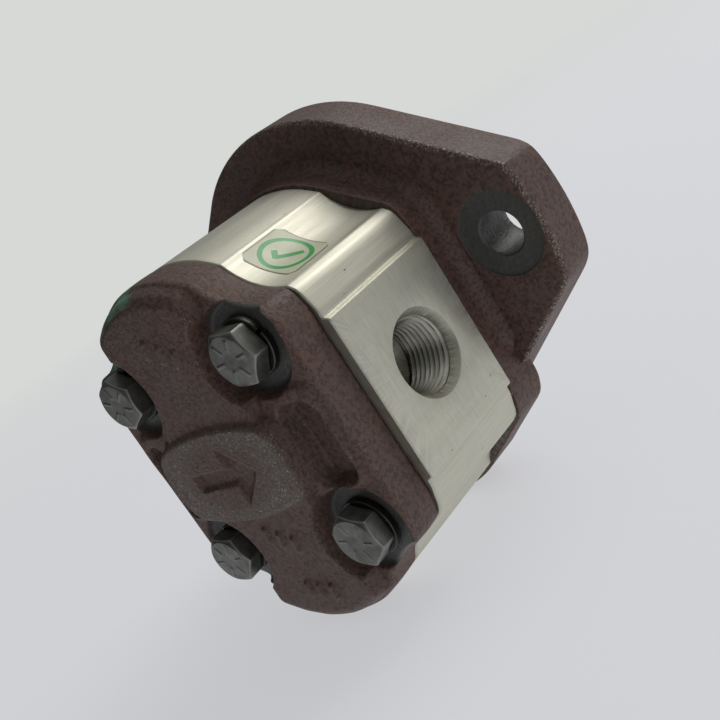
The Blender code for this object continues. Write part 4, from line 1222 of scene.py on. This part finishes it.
def seal_profile(shaft_radius):
    """Closed section of a spring-loaded lip seal with an outer shell."""
    low, high = box_mm("shaft_seal")
    outer, back, front = high[0], low[1], high[1]
    lip = shaft_radius + 0.08
    return [(outer - 0.4, front), (outer, front - 0.4), (outer, back + 0.4), (outer - 0.3, back),
            (outer - 1.1, back), (outer - 1.1, front - 1.6), (lip + 2.5, front - 1.6),
            (lip + 2.5, back + 0.9), (lip + 1.2, back + 0.4), (lip, back + 1.5),
            (lip + 0.9, back + 3.0), (lip + 0.9, front - 0.9), (lip + 0.1, front - 0.25),
            (lip + 0.25, front), (lip + 1.6, front), (lip + 1.9, front - 0.25),
            (outer - 1.5, front - 0.25), (outer - 1.2, front)]


def circlip_sheets():
    """An internal retaining ring: its inner radius falls towards two drilled ears at the gap."""
    low, high = box_mm("seal_circlip")
    outer = 15.1
    path = np.linspace(math.radians(15), math.radians(345), 260)
    near = np.minimum(path, 2 * math.pi - path)
    width = 2.0 + 0.9 * np.exp(-(((near - math.pi) / 1.2) ** 2)) + 2.6 * ramp(0.52 - near, 0.16)
    width = width * np.sqrt(np.clip((near - math.radians(14.2)) / 0.06, 0.35, 1))
    turn = path + math.pi / 2
    bevel, inner = 0.12, outer - width
    rim = np.full(len(turn), outer)
    section = [(rim, low[1] + bevel), (rim - bevel, low[1]), (inner + bevel, low[1]),
               (inner, low[1] + bevel), (inner, high[1] - bevel), (inner + bevel, high[1]),
               (rim - bevel, high[1]), (rim, high[1] - bevel)]
    return split_ring(lathe_rows(section, turn))


class PUMP_OT_drive(bpy.types.Operator):
    """Build both gear shafts, the key, the shaft seal and its retaining ring"""

    bl_idname = "pump.drive"
    bl_label = "Shafts, key and seal"

    def execute(self, context):
        settings = context.scene.pump_drive
        light = tuple(settings.steel_colour)
        ground = finished_steel("ground_case_hardened_steel", light, tuple(c * 0.8 for c in light),
                                0.24, 0.25, (1, 5, 1), 0.004)
        drawn = finished_steel("drawn_key_steel", tuple(c * 0.85 for c in light),
                               tuple(c * 0.65 for c in light), 0.3, 0.3, (1, 0.05, 1), 0.006)
        clip = finished_steel("phosphated_spring_steel", linear("4a4a4c"), linear("38383a"), 0.45,
                              0.5, (1, 1, 1), 0.008, 0.8)
        rubber = moulded_rubber("nitrile_rubber_lip_seal", linear("1f1f21"), 0.5)
        rear = SHAFT_LOW[1]
        radius = settings.shaft_radius / MM
        key_low, key_high = box_mm("shaft_key")
        keyway = (settings.key_side / MM / 2 + 0.1, key_low[2] - 0.1, key_low[1] - 0.1,
                  key_high[1] + 0.1)
        tail = [(0.0, rear), (7.5, rear), (8.0, rear + 0.5)]
        nose = [(8.0, -21.6), (radius, -21.1), (radius, 2.0)]
        drive = shaft_sheets(0.0, -math.pi / 2, tail, nose, settings, keyway)
        make_piece("drive_shaft_with_gear", drive, ground, "drive_shaft",
                   ["drive_gear_shaft"], 30)
        driven_z = 2 * CENTRE_Z
        front = box_mm("driven_gear_shaft")[1][1]
        driven_nose = [(8.0, front - 0.5), (7.5, front), (0.0, front)]
        half_tooth = math.pi / 10
        driven = shaft_sheets(driven_z, math.pi / 2 + half_tooth, tail, driven_nose, settings)
        make_piece("driven_shaft_with_gear", driven, ground, "driven_shaft",
                   ["driven_gear_shaft"], 30)
        make_piece("square_key", key_sheets(settings, key_low[1], key_high[1], key_low[2]),
                   drawn, "drive_shaft", ["shaft_key"], 30)
        seal_rows = lathe_rows(seal_profile(radius), full_turn(160))
        make_piece("lip_seal", [sheet(seal_rows, around=True, rows_close=True)], rubber, "housing",
                   ["shaft_seal"], 35)
        make_piece("retaining_ring", circlip_sheets(), clip, "housing", ["seal_circlip"],
                   35)
        return {"FINISHED"}


# ---------------------------------------------------------------- inner parts


class PUMP_OT_inner_parts(bpy.types.Operator):
    """Give the carried-over inner parts their finishes"""

    bl_idname = "pump.inner_parts"
    bl_label = "Inner parts"

    def execute(self, context):
        light = tuple(context.scene.pump_drive.steel_colour)
        finishes = {
            "bearing_block": finished_steel("machined_bearing_aluminium", linear("c9c4b4"),
                                            linear("aaa594"), 0.34, 0.4, (1, 4, 1)),
            "liner": finished_steel("rolled_bearing_bronze", linear("b8935f"), linear("967345"),
                                    0.34, 0.5, (1, 3, 1)),
            "_seal": moulded_rubber("nitrile_rubber_static_seal", linear("1b1b1c"), 0.55),
            "dowel": finished_steel("ground_dowel_steel", light, tuple(c * 0.8 for c in light),
                                    0.26, 0.3, (1, 4, 1)),
            "spring": finished_steel("drawn_garter_wire", light, tuple(c * 0.7 for c in light),
                                     0.3, 0.2, (1, 1, 1)),
        }
        standing_in = {"pump_body", "rear_cover", "mounting_flange", "drive_gear_shaft",
                       "driven_gear_shaft", "shaft_key", "shaft_seal", "seal_circlip"}
        for name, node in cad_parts.items():
            if name in standing_in or name.startswith(("cover_bolt", "lock_washer")):
                continue
            finish = next((made for part, made in finishes.items() if part in name), None)
            if finish is None:
                raise RuntimeError(f"no finish for {name}")
            for place in node.material_slots:
                place.material = finish
        return {"FINISHED"}


# ---------------------------------------------------------------- label


def label_sheets(settings):
    """A thin film that follows the flute: across it runs along the body's section, and up it
    runs along the shaft. The grid's four corners are pulled in, which cuts them off."""
    section = spread(lobe_quarter(LOBE_RADIUS, LOBE_HALF_WIDTH, [(36.6, 29.4)], 400), 400)
    along = np.r_[0, np.cumsum(np.hypot(*np.diff(section, axis=0).T))]
    u, v = np.meshgrid(np.linspace(-1, 1, 49), np.linspace(-1, 1, 49), indexing="ij")
    corner = 0.22
    pull = np.clip(np.maximum(np.abs(u) + np.abs(v) - (2 - corner), 0) / 2, 0, 1)
    pu, pv = u - np.sign(u) * pull, v - np.sign(v) * pull
    middle_s, middle_y = 29.6, -47.9
    s = middle_s + pu * settings.width / MM / 2
    y = middle_y + pv * settings.height / MM / 2 + 0.04 * (s - middle_s)
    x = np.interp(s, along, section[:, 0])
    z = np.interp(s, along, section[:, 1])
    slope_x, slope_z = (np.interp(s + 0.05, along, line) - np.interp(s - 0.05, along, line)
                        for line in section.T)
    length = np.maximum(np.hypot(slope_x, slope_z), 1e-9)
    out = np.stack([-slope_z / length, 0 * s, slope_x / length], -1)
    place = np.stack([x, y, z + CENTRE_Z], -1)
    rim = np.maximum(np.abs(u), np.abs(v)) ** 14
    top, under = place + out * 0.09, place + out * 0.02
    sides = []
    for cut in (np.s_[0, :], np.s_[-1, :], np.s_[:, 0], np.s_[:, -1]):
        sides.append(sheet(np.stack([top[cut], under[cut]]), rim=1.0,
                           map_u=np.stack([u[cut]] * 2), map_v=np.stack([v[cut]] * 2)))
    return [sheet(top, rim=rim, map_u=u, map_v=v), sheet(under, rim=1.0, map_u=u, map_v=v)] + sides


class PUMP_OT_label(bpy.types.Operator):
    """Build the inspection label with its printed ring and tick"""

    bl_idname = "pump.label"
    bl_label = "Inspection label"

    def execute(self, context):
        settings = context.scene.pump_label
        film = printed_film("varnished_paper_label", settings)
        made = make_piece("inspection_label", label_sheets(settings), film, "housing", [], 50)
        data = made.data
        flat = data.uv_layers.new(name="flat")
        corners = np.empty(len(data.loops), np.int32)
        data.loops.foreach_get("vertex_index", corners)
        parts = []
        for name in ("map_u", "map_v"):
            values = np.empty(len(data.vertices), np.float32)
            data.attributes[name].data.foreach_get("value", values)
            parts.append(values[corners] * 0.5 + 0.5)
        flat.data.foreach_set("uv", np.stack(parts, -1).reshape(-1))
        return {"FINISHED"}


# ---------------------------------------------------------------- stage


# metres from the middle at which the floor starts and ends fading into the surround
FLOOR_FADE = (0.3, 1.5)
DOME_DIRECTION = (0.35, 0.55, 0.76)
STAGE_MIDDLE = (0, -0.035, -0.01)
CAMERA_PLACE = (0.19442, -0.1976, 0.04502)
CAMERA_RIGHT = (0.6489, 0.5444, -0.5316)
CAMERA_UP = (0.2246, 0.5305, 0.8174)
CAMERA_BACK = (0.7270, -0.6497, 0.2220)


def aimed(name, place, target, size, power, colour):
    """A square soft light that faces a target."""
    lamp = bpy.data.lights.new(name, "AREA")
    lamp.size, lamp.energy, lamp.color = size, power, colour
    made = bpy.data.objects.new(name, lamp)
    made.location = place
    made.rotation_euler = (Vector(target) - Vector(place)).to_track_quat("-Z", "Y").to_euler()
    bpy.context.scene.collection.objects.link(made)
    return made


class PUMP_OT_stage(bpy.types.Operator):
    """Set the floor, the soft lights and the camera"""

    bl_idname = "pump.stage"
    bl_label = "Stage"

    def execute(self, context):
        scene, settings = context.scene, context.scene.pump_stage
        made, tree, shader, where = new_material("matt_paper_floor")
        tint = noise(tree, where, 60.0, 3.0)
        pale = tuple(settings.floor_colour)
        use(tree, shader, Base_Color=blended(tree, tint, pale, tuple(c * 0.985 for c in pale)))
        use(tree, shader, Roughness=0.9, Emission_Color=(*linear("dedfe3"), 1),
            Emission_Strength=settings.floor_glow)
        away = add(tree, "ShaderNodeVectorMath", {0: where}, operation="LENGTH").outputs["Value"]
        use(tree, shader, Alpha=between(tree, away, *FLOOR_FADE, 1.0, 0.0))
        rings = lathe_rows([(r, 0.0) for r in (0, 120, 400, 1000, 1700, 2300)], full_turn(64))
        points, quads, _ = sheet(rings[..., [0, 2, 1]], around=True)
        points[:, 2] = FLANGE_LOW[2] - 0.02
        data = bpy.data.meshes.new("floor")
        data.from_pydata((points * MM).tolist(), [], quads.tolist())
        data.materials.append(made)
        floor = bpy.data.objects.new("floor", data)
        scene.collection.objects.link(floor)

        world = bpy.data.worlds.new("soft_surround")
        world.use_nodes = True
        tree = world.node_tree
        # the backdrop itself is seen at full strength, and lights the pump far less
        seen = add(tree, "ShaderNodeLightPath").outputs["Is Camera Ray"]
        sky = tree.nodes["Background"]
        sky.inputs["Color"].default_value = (*settings.sky_colour, 1)
        direction = add(tree, "ShaderNodeTexCoord").outputs[0]
        above = add(tree, "ShaderNodeVectorMath", {0: direction, 1: DOME_DIRECTION},
                    operation="DOT_PRODUCT")
        dome = between(tree, above.outputs["Value"], -0.1, 0.9, settings.sky_strength,
                       settings.dome_strength)
        tree.links.new(combined(tree, "MAXIMUM", seen, dome), sky.inputs["Strength"])
        scene.world = world

        right, up, back = (Vector(v).normalized() for v in (CAMERA_RIGHT, CAMERA_UP, CAMERA_BACK))
        target = Vector(STAGE_MIDDLE)
        key_place = target + up * 1.45 + right * 0.25 - back * 0.15
        aimed("key_light", key_place, target, 0.95, settings.key_power, (1.0, 0.985, 0.96))
        fill_place = target + back * 0.9 + right * 0.3 + up * 0.9
        aimed("fill_light", fill_place, target, 0.6, settings.fill_power, (0.95, 0.97, 1.0))

        lens = bpy.data.cameras.new("camera")
        lens.lens, lens.sensor_width = settings.lens, 36.0
        lens.clip_start, lens.clip_end = 0.01, 20.0
        eye = bpy.data.objects.new("camera", lens)
        turn = Matrix((right, up, back)).transposed()
        eye.matrix_world = Matrix.Translation(CAMERA_PLACE) @ turn.to_4x4()
        scene.collection.objects.link(eye)
        scene.camera = eye
        scene.view_settings.view_transform = "Standard"
        return {"FINISHED"}


# ---------------------------------------------------------------- panel and start


OPERATORS = (PUMP_OT_stage, PUMP_OT_body, PUMP_OT_rear_cover, PUMP_OT_flange, PUMP_OT_screws,
             PUMP_OT_drive, PUMP_OT_inner_parts, PUMP_OT_label)


class PUMP_PT_panel(bpy.types.Panel):
    """Lists the pump's pieces and their sizes and colours"""

    bl_idname = "PUMP_PT_panel"
    bl_label = "Gear pump"
    bl_space_type = "VIEW_3D"
    bl_region_type = "UI"
    bl_category = "Pump"

    def draw(self, context):
        for operator in OPERATORS:
            self.layout.operator(operator.bl_idname)
        for key in SETTINGS:
            group = getattr(context.scene, key)
            box = self.layout.box()
            box.label(text=group.bl_rna.name)
            for name in group.__annotations__:
                box.prop(group, name)


CLASSES = (*SETTINGS.values(), *OPERATORS, PUMP_PT_panel)


def register():
    for made in CLASSES:
        bpy.utils.register_class(made)
    for key, group in SETTINGS.items():
        setattr(bpy.types.Scene, key, PointerProperty(type=group))


def unregister():
    for key in SETTINGS:
        delattr(bpy.types.Scene, key)
    for made in reversed(CLASSES):
        bpy.utils.unregister_class(made)


def main():
    register()
    bpy.ops.pump.stage()
    bpy.ops.pump.body()
    bpy.ops.pump.rear_cover()
    bpy.ops.pump.flange()
    bpy.ops.pump.screws()
    bpy.ops.pump.drive()
    bpy.ops.pump.inner_parts()
    bpy.ops.pump.label()


if __name__ == "__main__":
    main()
